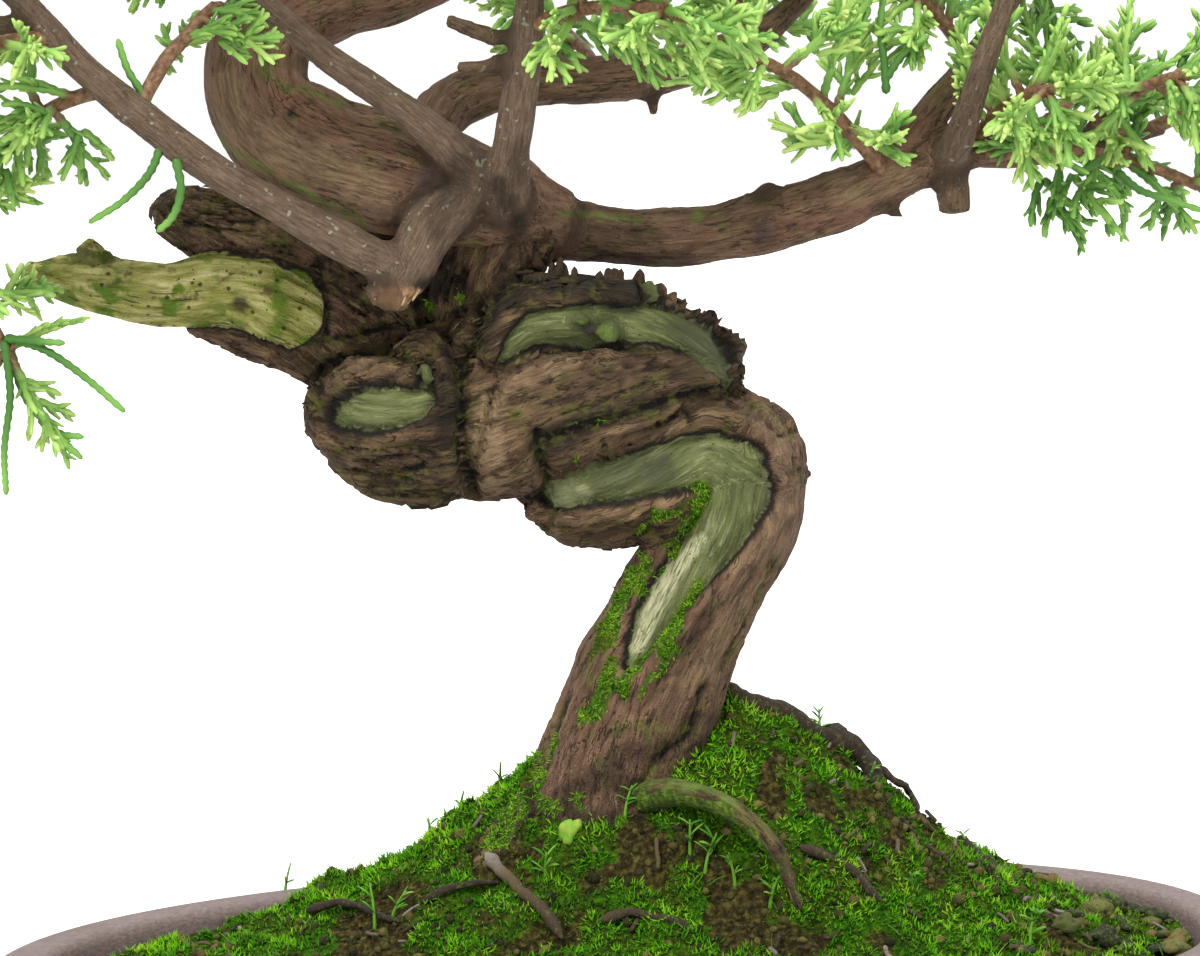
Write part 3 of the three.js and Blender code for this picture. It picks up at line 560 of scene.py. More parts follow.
# Wood: every limb as a round tube, joined into skins and then given their bark
BRANCHES = [
    "leader", "right", "right_rising", "right_upright", "back", "front_high", "front_knuckle", "front_low",
    "front_upright", "hanging", "arched_root", "stub_0", "stub_1", "stub_2", "stub_3", "stub_8", "stub_9",
    "stub_11",
]
VOXEL = {"trunk_wood": 0.66, "branch_wood": 0.9}
LOOKS = {  # how rough the bark is, how young, how purple
    "coil": (1.0, 0.0, 0.1),
    "coil_rise": (0.5, 0.0, 0.55),
    "coil_first_arm": (0.8, 0.0, 0.3),
    "coil_roll": (0.7, 0.0, 0.35),
    "leader": (0.3, 0.05, 1.0),
    "right": (0.42, 0.1, 0.7),
    "back": (0.5, 0.1, 0.6),
    "front": (0.16, 1.0, 0.0),
    "hanging": (0.12, 1.0, 0.0),
    "right_upright": (0.2, 1.0, 0.0),
    "bark": (1.15, 0.0, 0.05),
    "jin_lip": (1.0, 0.0, 0.1),
    "jin": (0.9, 0.0, 0.1),
    "arched_root": (0.3, 0.0, 0.0),
    "left_root": (0.9, 0.0, 0.3),
    "right_root": (0.9, 0.0, 0.3),
    "stub": (0.3, 0.5, 0.1),
}
# Deadwood showing through the bark: the limbs it is on, and (pixel across, pixel down, half width) along it
DEADWOOD = [
    (
        ("coil_rise", "coil_first_arm"),
        [
            (553, 491, 18), (585, 485, 22), (620, 479, 25), (650, 472, 26), (684, 464, 27), (715, 461, 31),
            (736, 471, 34), (742, 492, 33), (728, 517, 32), (706, 545, 29), (688, 568, 26), (668, 592, 23),
            (652, 618, 20), (640, 640, 15), (632, 662, 9),
        ],
    ),
    (
        ("coil_upper", "coil_behind_right", "coil_filling", "coil_roll"),
        [
            (500, 363, 4), (513, 349, 12), (534, 330, 20), (555, 327, 23), (586, 326, 24), (632, 326, 20),
            (658, 322, 23), (680, 326, 23), (702, 338, 21), (716, 355, 16), (730, 370, 11), (737, 381, 7),
        ],
    ),
    (("coil_left",), [(346, 414, 19), (365, 409, 26), (390, 406, 24), (412, 403, 18), (428, 399, 9)]),
    (("coil_left", "stub_6"), [(425, 395, 8), (425, 365, 6)]),
]
# Rows of circles on the photograph (across, down, radius): the bare part of the short deadwood limb
JIN_BARE = [(40, 268, 60), (150, 285, 55), (240, 300, 46), (283, 308, 42)]
# Where moss grows on the bark
TRUNK_MOSS = [
    [
        (701, 488, 5), (692, 518, 6), (664, 555, 7), (638, 577, 9), (624, 601, 8), (612, 626, 10),
        (604, 654, 12),
    ],
    [(604, 654, 12), (602, 685, 16), (592, 710, 12), (578, 728, 7)],
    [(694, 580, 8), (691, 600, 12), (678, 626, 12), (666, 645, 13), (652, 665, 15), (628, 688, 12)],
    [(548, 742, 8), (522, 790, 12), (502, 825, 13), (500, 850, 14)],
    [(638, 530, 5), (664, 513, 6), (688, 500, 5)],
    [(742, 730, 12), (762, 765, 16), (728, 792, 9)],
    [(425, 312, 4), (440, 305, 6), (460, 298, 5)],
    [(580, 800, 5), (568, 830, 6)],
    [(530, 828, 7), (548, 834, 6)],
    [(604, 826, 9), (628, 820, 6)],
    [(570, 463, 2), (588, 459, 3), (606, 455, 2)],
    [(553, 436, 2), (570, 428, 3), (600, 420, 2)],
]
# Creases in the bark on the photograph: the line, its depth and half width in mm. They are sunk into the
# relief and get painted shade
FOLDS = [
    ([(478, 300), (468, 330), (462, 360), (464, 400), (464, 440), (468, 478), (474, 498)], 2.4, 1.2),
    ([(497, 368), (513, 362), (540, 354), (575, 352), (613, 351), (663, 347), (690, 353),
      (712, 369)], 1.0, 0.6),
    ([(537, 447), (556, 438), (580, 430), (610, 421), (647, 409), (678, 398), (708, 391),
      (736, 386)], 2.1, 1.5),
    ([(536, 436), (540, 458), (547, 478), (553, 500), (551, 526)], 2.0, 1.0),
    ([(306, 400), (316, 374), (338, 359), (372, 352), (405, 355), (428, 364)], 1.2, 0.8),
    ([(341, 452), (362, 446), (386, 444), (410, 446)], 0.7, 0.5),
    ([(345, 472), (380, 478), (420, 470), (460, 466)], 0.8, 0.6),
    ([(352, 490), (385, 497), (425, 495), (455, 500)], 0.8, 0.6),
    ([(476, 344), (479, 316), (494, 291), (519, 277), (536, 272)], 1.1, 0.8),
    ([(318, 262), (330, 300), (328, 340)], 1.2, 1.0),
    ([(310, 348), (345, 335), (400, 325), (440, 318), (464, 306)], 1.0, 0.8),
    ([(630, 545), (660, 525), (690, 510)], 0.8, 0.8),
    ([(560, 528), (600, 524), (636, 508)], 0.5, 0.4),
    ([(212, 288), (226, 276), (240, 264)], 0.9, 0.4),
    ([(256, 320), (280, 330), (296, 344)], 0.5, 0.3),
    ([(120, 300), (150, 304), (190, 300)], 0.4, 0.3),
    ([(345, 94), (368, 118), (405, 128)], 0.5, 0.5),
    ([(484, 425), (520, 412), (560, 396)], 0.4, 0.4),
    ([(560, 415), (610, 398), (660, 376)], 0.5, 0.4),
    ([(702, 690), (690, 735), (655, 762), (640, 790)], 1.0, 0.9),
    ([(562, 700), (545, 760), (520, 810)], 0.9, 0.8),
    ([(532, 790), (516, 818), (508, 852)], 1.2, 0.9),
    ([(776, 560), (752, 610), (722, 670)], 0.4, 0.5),
    ([(160, 215), (200, 226), (250, 232), (290, 250)], 0.9, 0.6),
    ([(190, 196), (240, 205), (285, 222), (320, 250)], 0.8, 0.5),
    ([(538, 280), (534, 303)], 0.7, 0.3),
    ([(566, 282), (562, 302)], 0.7, 0.3),
    ([(598, 288), (594, 302)], 0.6, 0.3),
    ([(601, 438), (608, 459)], 0.7, 0.3),
    ([(658, 422), (665, 444)], 0.8, 0.3),
    ([(684, 406), (692, 434)], 0.9, 0.3),
    ([(718, 402), (724, 424)], 0.7, 0.3),
    ([(756, 398), (746, 418)], 0.6, 0.3),
    ([(796, 430), (774, 438)], 0.7, 0.3),
    ([(338, 360), (346, 382)], 0.6, 0.3),
    ([(304, 410), (324, 405)], 0.7, 0.3),
    ([(486, 402), (497, 396)], 0.5, 0.3),
]
# Paler (above 0) and darker (below 0) places of the bark on the photograph, as rows of circles. Partly the
# bark's own tan and dark patches, partly painted shade in gaps, beside creases, under branches and at
# junctions, and painted light along the leader
TONE_AND_PAINTED_SHADE = [
    (1.0, [(492, 398, 10), (486, 432, 15), (494, 476, 10)]),
    (-0.4, [(540, 404, 12), (580, 388, 14), (630, 370, 12)]),
    (-0.5, [(672, 366, 12), (700, 366, 10)]),
    (0.55, [(225, 226, 8), (262, 234, 10)]),
    (-0.8, [(604, 333, 12), (584, 328, 7)]),
    (0.7, [(506, 384, 6), (540, 368, 8), (565, 362, 6)]),
    (-0.7, [(532, 440, 6), (570, 424, 10), (612, 404, 11), (650, 385, 8)]),
    (-0.4, [(690, 372, 12), (712, 386, 8)]),
    (-1.0, [(484, 345, 9), (492, 308, 12), (525, 286, 14), (590, 286, 16), (632, 298, 13)]),
    (-0.8, [(510, 300, 7), (540, 290, 9), (600, 291, 9)]),
    (-0.6, [(682, 303, 6), (718, 334, 7), (740, 374, 6)]),
    # painted shadow on the shaded side beside the main crease
    (-0.9, [(446, 360, 9), (450, 400, 12), (450, 440, 12)]),
    (0.7, [(340, 376, 6), (372, 368, 8)]),
    (-0.6, [(318, 395, 8), (314, 424, 6)]),
    (-0.5, [(430, 470, 12), (380, 486, 9)]),
    (0.6, [(352, 460, 8)]),
    # painted shade in the gap between the roll and the arm's lip
    (-1.0, [(545, 448, 8), (575, 434, 8), (610, 422, 6), (650, 409, 5), (690, 396, 4)]),
    (0.3, [(575, 459, 6), (610, 443, 7), (660, 424, 8), (700, 410, 8)]),
    (-0.3, [(600, 392, 12), (640, 380, 13), (680, 370, 12)]),
    (0.5, [(745, 408, 9), (780, 440, 11), (786, 505, 14), (740, 600, 15), (704, 680, 14)]),
    (0.5, [(575, 528, 9), (612, 520, 7)]),
    (-0.7, [(640, 790, 9), (600, 775, 12), (560, 800, 10)]),
    (-0.8, [(505, 826, 12), (560, 822, 15), (618, 822, 14)]),
    (-0.6, [(690, 330, 12), (716, 352, 10), (732, 374, 8)]),
    (-0.3, [(166, 200, 12)]),
    (-0.5, [(280, 250, 9), (312, 285, 10)]),
    (-1.0, [(420, 292, 13), (458, 288, 12), (450, 262, 10)]),
    # painted light along the leader
    (0.85, [(230, 84, 15), (240, 124, 17), (292, 152, 19), (345, 172, 17), (380, 200, 13)]),
    (-0.5, [(296, 60, 8), (316, 72, 5)]),
    # painted shade round the branch junction
    (-0.8, [(498, 185, 8), (520, 228, 7), (505, 262, 7)]),
    # painted shade under the right branch
    (-0.5, [(600, 255, 6), (690, 257, 5)]),
    (0.7, [(846, 192, 18), (905, 176, 12)]),
    (-0.4, [(552, 222, 14), (592, 234, 15), (645, 240, 11)]),
    (-0.55, [(462, 166, 12), (452, 192, 13), (436, 232, 9)]),
    (-0.5, [(515, 150, 8), (518, 178, 8)]),
    (-0.55, [(705, 720, 12), (672, 760, 16), (628, 752, 12), (590, 776, 10)]),
    (-0.7, [(600, 478, 15), (632, 474, 16), (662, 468, 14)]),
    (-0.6, [(676, 324, 8), (700, 334, 9), (720, 352, 8), (734, 374, 6)]),
    (-0.35, [(560, 346, 6), (610, 345, 6)]),
    (0.4, [(560, 494, 8), (585, 492, 7)]),
    (-0.5, [(350, 430, 6), (390, 428, 5)]),
]
# Knots and scars on the photograph: across, down, radius, limb, and a knot's height in mm
KNOTS = [
    (428, 180, 17, "leader", 0.9), (763, 230, 13, "right", 0.9), (290, 112, 5, "leader", -0.9),
    (240, 305, 10, "jin", -1.4), (590, 331, 9, "coil_upper", 0.9),
]
SCARS = [(698, 216, 7, "right"), (606, 334, 12, "stub_4"), (648, 300, 9, "stub_5"), (580, 326, 6, "stub_10")]
# Lines of yellow-green lichen on the smooth bark
LICHEN = [
    [(214, 135, 1), (232, 150, 2), (251, 162, 2), (285, 181, 3), (324, 202, 2), (367, 226, 2)],
    [(263, 52, 1), (266, 70, 2), (285, 89, 2), (306, 89, 2), (324, 98, 2), (343, 106, 1)],
    [(560, 212, 1), (600, 216, 3), (640, 219, 1)],
]
# The torn end on the photograph: across, down, half width and half height
TORN = (398, 298, 30, 13)
# Shards on the upper lip: pixel across, height in pixels
SHARDS = [
    (540, 3), (547, 2), (553, 5), (558, 9), (564, 5), (571, 2), (602, 2), (607, 4), (612, 3), (618, 6),
    (624, 3), (631, 5), (637, 3),
]
# The palest streak of the bare wood, as circles on the photograph
STREAK = [(700, 540, 4), (671, 569, 9), (648, 610, 10), (634, 645, 6)]
# Splinters under the torn end: pixel across, pixel down
SPLINTERS = [
    (370, 293), (375, 298), (380, 301), (385, 303), (390, 304), (396, 303), (402, 304), (408, 302),
    (413, 299),
]


def limb_path(points):
    given = np.array(points, float)
    length = np.linalg.norm(np.diff(given[:, :3], axis=0), axis=1).sum()
    count = max(int(length), 6)
    path = spline(given[:, :3], count)
    radius = np.interp(np.linspace(0, len(given) - 1, count), np.arange(len(given)), given[:, 3])
    return path, radius


def add_limb(skin, path, radius, blunt):
    """One limb with a ropy section and closed ends."""
    tangent, normal, side = frames_along(path)
    sides = 28 if radius.max() > 4 else 16
    angle = np.linspace(0, FULL_TURN, sides, endpoint=False)
    u = np.linspace(0, 1, len(path))[:, None]
    ropes = 1 + (0.045 * np.cos(3 * angle + 7 * u) + 0.025 * np.cos(5 * angle - 11 * u)) * (not blunt)
    ring = ways_round(angle, normal, side)
    radius = radius * (1 + 0.07 * wave(path / 5, 26))
    rings = list(path[:, None] + ring * (radius[:, None] * ropes)[..., None])
    if not blunt:
        for rise in (0.4, 0.75, 0.95):
            for end, sign in ((0, -1), (-1, 1)):
                middle = path[end] + tangent[end] * sign * radius[end] * rise
                extra = middle + ring[end] * (radius[end] * ropes[end] * math.sqrt(1 - rise * rise))[:, None]
                rings.insert(0 if end == 0 else len(rings), extra)
    ahead = radius[[0, -1]] * (0.15 if blunt else 1)
    poles = np.array([path[0] - tangent[0] * ahead[0], path[-1] + tangent[-1] * ahead[1]])
    skin.add(np.vstack(rings + [poles]), ring_faces(len(rings), sides))


def read(collection, key, width, kind=float):
    out = np.empty(len(collection) * width, kind)
    collection.foreach_get(key, out)
    return out.reshape(-1, width) if width > 1 else out


def voxel_skin(name, limbs):
    """One even mesh round some limbs."""
    skin = Shape()
    for limb in limbs:
        add_limb(skin, *wood[limb], limb.startswith("stub"))
    mesh = bpy.data.meshes.new(name)
    mesh.from_pydata(to_world(np.vstack(skin.points)), [], np.vstack(skin.faces).tolist())
    carrier = bpy.data.objects.new(name, mesh)
    bpy.context.scene.collection.objects.link(carrier)
    remesh = carrier.modifiers.new("voxels", "REMESH")
    remesh.mode = "VOXEL"
    remesh.voxel_size = VOXEL[name] * MM
    bpy.context.view_layer.update()
    found = bpy.data.meshes.new_from_object(carrier.evaluated_get(bpy.context.evaluated_depsgraph_get()))
    bpy.data.objects.remove(carrier)
    return found


wood = {name: limb_path(points) for name, points in LIMBS.items()}
for i, (start, end, first, last) in enumerate(STUBS):
    wood[f"stub_{i}"] = (np.linspace(start, end, 8), np.linspace(first, last, 8))
trunk_mesh = voxel_skin("trunk_wood", [n for n in wood if n not in BRANCHES])
branch_mesh = voxel_skin("branch_wood", [n for n in wood if n in BRANCHES])
wood_meshes = [trunk_mesh, branch_mesh]
own_part = [slice(0, len(trunk_mesh.vertices)), slice(len(trunk_mesh.vertices), None)]
edges = np.vstack([read(m.edges, "vertices", 2, int) + part.start for m, part in zip(wood_meshes, own_part)])


def averaged(values, rounds, share=0.5):
    """Values at the wood's points, drawn towards those of their neighbours."""
    values = np.array(values, float)
    flat = values.reshape(len(values), -1)
    degree = np.bincount(edges.ravel(), minlength=len(values))[:, None]
    for _ in range(rounds):
        total = np.zeros_like(flat)
        for c in range(flat.shape[1]):
            total[:, c] = np.bincount(edges[:, 0], flat[edges[:, 1], c], len(flat))
            total[:, c] += np.bincount(edges[:, 1], flat[edges[:, 0], c], len(flat))
        flat = flat + share * (total / degree - flat)
    return flat.reshape(values.shape)


def move_wood(positions):
    for mesh, part in zip(wood_meshes, own_part):
        mesh.vertices.foreach_set("co", positions[part].ravel())
        mesh.update()


places = averaged(np.vstack([read(m.vertices, "co", 3) for m in wood_meshes]), 2)
move_wood(places)
outward = np.vstack([read(m.vertices, "normal", 3) for m in wood_meshes])
spots = to_tree(places)
facing = turned(outward, -TREE_TURN)
towards = -facing[:, 1] * math.cos(CAMERA["elevation"]) + facing[:, 2] * math.sin(CAMERA["elevation"])
on_branch = np.arange(len(spots)) >= own_part[1].start

# The limb that each point belongs to, and its place along and around that limb
LIMBS_APART = 61
names = list(wood)
owner = np.zeros(len(spots), int)
ratio = np.full(len(spots), 1e9)
fibre = np.zeros((len(spots), 3))
grain_way = np.zeros((len(spots), 3))
reach = np.zeros(len(spots))
for index, name in enumerate(names):
    path, radius = wood[name]
    low, high = path.min(0) - radius.max() * 1.8, path.max(0) + radius.max() * 1.8
    near = np.nonzero(((spots > low) & (spots < high)).all(1) & (on_branch == (name in BRANCHES)))[0]
    tangent, normal, side = frames_along(path)
    along = np.concatenate([[0], np.cumsum(np.linalg.norm(np.diff(path, axis=0), axis=1))])
    for part in np.array_split(near, max(1, len(near) // 4000)):
        gap = np.linalg.norm(spots[part][:, None] - path[None], axis=2) / radius
        k = gap.argmin(1)
        closest = gap[np.arange(len(part)), k]
        better = closest < ratio[part]
        hit, k = part[better], k[better]
        ratio[hit] = closest[better]
        owner[hit] = index
        away = spots[hit] - path[k]
        reach[hit] = radius[k]
        grain_way[hit] = tangent[k]
        run_on = along[k] + (away * tangent[k]).sum(1) + LIMBS_APART * index
        fibre[hit] = np.stack([(away * normal[k]).sum(1), (away * side[k]).sum(1), run_on], 1)


def of_limb(*wanted):
    return np.isin(owner, [i for i, n in enumerate(names) if n in wanted])


def of_kind(*starts):
    return of_limb(*(n for n in names if n.startswith(starts)))


def look_of(name):
    for key in sorted(LOOKS, key=len, reverse=True):
        if name.startswith(key):
            return LOOKS[key]
    raise KeyError(name)


fibre = averaged(fibre, 4)
looks = averaged(np.array([look_of(name) for name in names])[owner], 3)
pixels = seen_at(spots)
front = smooth(-0.15, 0.15, towards)
FAR = 9.0
hidden = FAR * (1 - front)


def chain_distance(chain):
    """Millimetres from the edge of a row of circles on the photograph, negative inside it."""
    chain = np.array(chain, float)
    best = np.full(len(pixels), 1e3)
    for a, b in zip(chain, np.vstack([chain[1:], chain[-1:]])):
        step = b[:2] - a[:2]
        t = np.clip((pixels - a[:2]) @ step / max(step @ step, 1e-9), 0, 1)
        away = np.linalg.norm(pixels - a[:2] - t[:, None] * step, axis=1)
        best = np.minimum(best, away - a[2] - t * (b[2] - a[2]))
    return best / PIXELS_PER_MM


def disc(u, v, size, low, high, limb):
    """How much of a limb's points lie in a circle on the photograph, with a soft edge."""
    away = np.hypot(pixels[:, 0] - u, pixels[:, 1] - v) / size
    return (1 - smooth(low, high, away)) * front * of_limb(limb)


def grain(wide, long, seed, shift=0):
    """Noise drawn out along the fibres, its lumps so many mm wide and long."""
    return wave(fibre / (wide, wide, long) + shift, seed)


def thin_lines(noise, width):
    """Lines where some noise is about zero."""
    return 1 - smooth(0.0, width, np.abs(noise))


def bell(distance, width):
    return np.exp(-((distance / width) ** 2))


# Bare wood, as the distance from its edge, and moss
bare_edge = np.full(len(spots), FAR)
for limbs, chain in DEADWOOD:
    gap = chain_distance(chain) + 0.3 * wave(spots / 1.9, 5) + hidden
    bare_edge = np.minimum(bare_edge, np.where(of_limb(*limbs), gap, FAR))
jin_inside = chain_distance(JIN_BARE) + 1.3 * rough(spots / 3.2, 3, 7)
jin = averaged(of_limb("jin", "stub_7") * (1 - smooth(-0.5, 0.5, jin_inside - hidden)), 1)
snags = of_limb("stub_4", "stub_5", "stub_6", "stub_10")
bare_edge[snags] = -2
bare = 1 - smooth(-0.2, 0.3, bare_edge)
moss_edge = np.full(len(spots), FAR)
for chain in TRUNK_MOSS:
    moss_edge = np.minimum(moss_edge, chain_distance(chain) + hidden)
moss_edge = np.where(of_kind("coil", "left_root", "right_root"), moss_edge, FAR)
moss = 1 - smooth(-1.0, 1.0, moss_edge + 1.5 * rough(spots / 2.4, 2, 8))
tufts = grain(1.5, 5, 65) + 0.5 * wave(spots / 1.1, 66)
moss *= smooth(-0.45, 0.1, tufts)
low_moss = smooth(0.05, 0.4, rough(spots / 6, 2, 9)) * (1 - smooth(66, 80, spots[:, 2]))
moss = np.maximum(moss, 0.9 * low_moss * ~of_limb("arched_root"))
under_root = smooth(0.6, -0.1, facing[:, 2] + 0.7 * wave(spots / 2.5, 30))
under_root = under_root * (1 - 0.6 * smooth(765, 785, pixels[:, 0]))
moss = np.maximum(moss, 0.95 * of_limb("arched_root") * under_root)

# Creases, paler and darker places (the bark's own patches, painted shade and painted light), and knots
fold = np.zeros(len(spots))
crease = np.full(len(spots), FAR)
foldable = of_kind("coil", "bark", "jin", "leader")
for trail, depth, width in FOLDS:
    gap = chain_distance([(u, v, 0) for u, v in trail]) + 0.5 * wave(spots / 2.5, 6) + hidden
    gap = np.where(foldable, np.abs(gap), FAR)
    fold = np.maximum(fold, depth * bell(gap, width))
    crease = np.minimum(crease, gap + 0.45 - 0.45 * width)
# Paler and darker places as one number a point: bark tone, painted shade and painted light
tone_and_painted_shade = np.zeros(len(spots))
for amount, chain in TONE_AND_PAINTED_SHADE:
    inside = (1 - smooth(-0.9, 1.4, chain_distance(chain) + 1.1 * rough(spots / 3.2, 2, 24))) * front
    tone_and_painted_shade = np.where(np.abs(amount) * inside > np.abs(tone_and_painted_shade), amount * inside, tone_and_painted_shade)
knots = np.zeros(len(spots))
for u, v, size, limb, height in KNOTS:
    knots += height * disc(u, v, size, 0.4, 1.05, limb)

# Relief in mm: plates and fissures of bark along the fibres, and rolled lips round the sunk deadwood
fissure = thin_lines(grain(2.1, 11, 11, 0.4 * rough(spots / 5, 2, 3)[:, None]), 0.2)
plates = np.tanh(3.5 * grain(3.4, 8.5, 12, 5))
threads = grain(0.95, 9, 13)
crumbs = rough(spots / 1.5, 2, 14)
cross_cracks = thin_lines(grain(6, 2.6, 15), 0.12) * smooth(0, 0.4, wave(spots / 4, 16))
bark_relief = 0.38 * plates - 0.75 * fissure + 0.22 * threads + 0.32 * crumbs - 0.3 * cross_cracks
bark_relief *= looks[:, 0] * np.clip(reach / 6, 0.35, 1.15)
lip = bell(bare_edge - 1.9, 1.6) * (1.0 + 0.6 * wave(spots / 2.7, 17))
groove = bell(bare_edge + 0.15, 0.5)
dead_relief = 0.1 * grain(1.1, 14, 18) + 0.14 * grain(4, 16, 19)
dead_relief += 0.5 * smooth(0, 4, -bare_edge) - 1.35 * (1 - snags)
dead_relief = np.where(snags, 0.5 * rough(spots / 1.3, 2, 23), dead_relief)
jin_relief = 0.4 * grain(3, 9, 20) + 0.3 * grain(1.0, 8, 21) + 0.6 * wave(spots / 6, 22)
jin_relief -= 0.5 * thin_lines(grain(2.6, 14, 25, 3), 0.15)
relief = bark_relief * (1 - bare) * (1 - jin) + 1.5 * lip * (1 - bare) - 0.7 * groove - fold * (1 - bare)
relief += dead_relief * bare + jin_relief * jin + knots
torn = np.hypot((pixels[:, 0] - TORN[0]) / TORN[2], (pixels[:, 1] - TORN[1]) / TORN[3])
torn = 1 - smooth(0.75, 1.05, torn + 0.2 * wave(spots / 1.2, 28))
torn *= of_limb("front_knuckle", "front_low", "stub_11")
relief += torn * 1.1 * grain(0.9, 5, 29)
relief = np.where(spots[:, 2] < 62, relief * 0.7, relief)
places = places + outward * (relief * MM)[:, None]
move_wood(places)

# What the bark's colours follow
# Painted shade where the relief is sunk below its surroundings and along the deeper creases
hollow_shade = np.clip(-averaged(relief - averaged(relief, 12), 1) / 0.4, 0, 1) * (1 - bare)
hollow_shade = np.clip(hollow_shade + 0.5 * smooth(0.6, 2.2, fold), 0, 1)
scars = np.zeros(len(spots))
for u, v, size, limb in SCARS:
    scars = np.maximum(scars, disc(u, v, size, 0.6, 1.1, limb))
root_top = smooth(0.15, 0.75, facing[:, 2] + 0.7 * wave(spots / 1.8, 4)) * of_limb("arched_root")
scars = np.maximum(scars, root_top * (1 - 0.75 * smooth(728, 752, pixels[:, 0])))
for chain in LICHEN:
    line = 1 - smooth(-0.2, 0.4, chain_distance(chain) + 0.5 * wave(spots / 1.3, 27))
    scars = np.maximum(scars, 0.75 * line * front * of_limb("leader", "right"))
streak = 1 - smooth(-0.3, 0.9, chain_distance(STREAK))
kept = {
    "fibre": fibre, "edge": np.clip(bare_edge, -4, 6), "crease": np.clip(crease, -1, 6), "tone_and_painted_shade": tone_and_painted_shade,
    "jin": jin, "moss": moss, "young": looks[:, 1], "purple": looks[:, 2], "hollow_shade": hollow_shade, "scar": scars,
    "knot": np.clip(np.abs(knots) * 1.2, 0, 1), "streak": streak * front, "torn": torn,
}
for mesh, part in zip(wood_meshes, own_part):
    mesh.polygons.foreach_set("use_smooth", np.ones(len(mesh.polygons), bool))
    for key, value in kept.items():
        kind, item = ("FLOAT_VECTOR", "vector") if value.ndim == 2 else ("FLOAT", "value")
        own = np.ascontiguousarray(value[part]).ravel()
        mesh.attributes.new(key, kind, "POINT").data.foreach_set(item, own)

PURPLE_BARK = [(0.25, (72, 50, 37)), (0.45, (107, 80, 61)), (0.6, (127, 98, 77)), (0.8, (148, 120, 93))]
PALE_WOOD = [(0.28, (56, 62, 18)), (0.42, (118, 120, 50)), (0.54, (156, 152, 88)), (0.7, (196, 186, 134))]


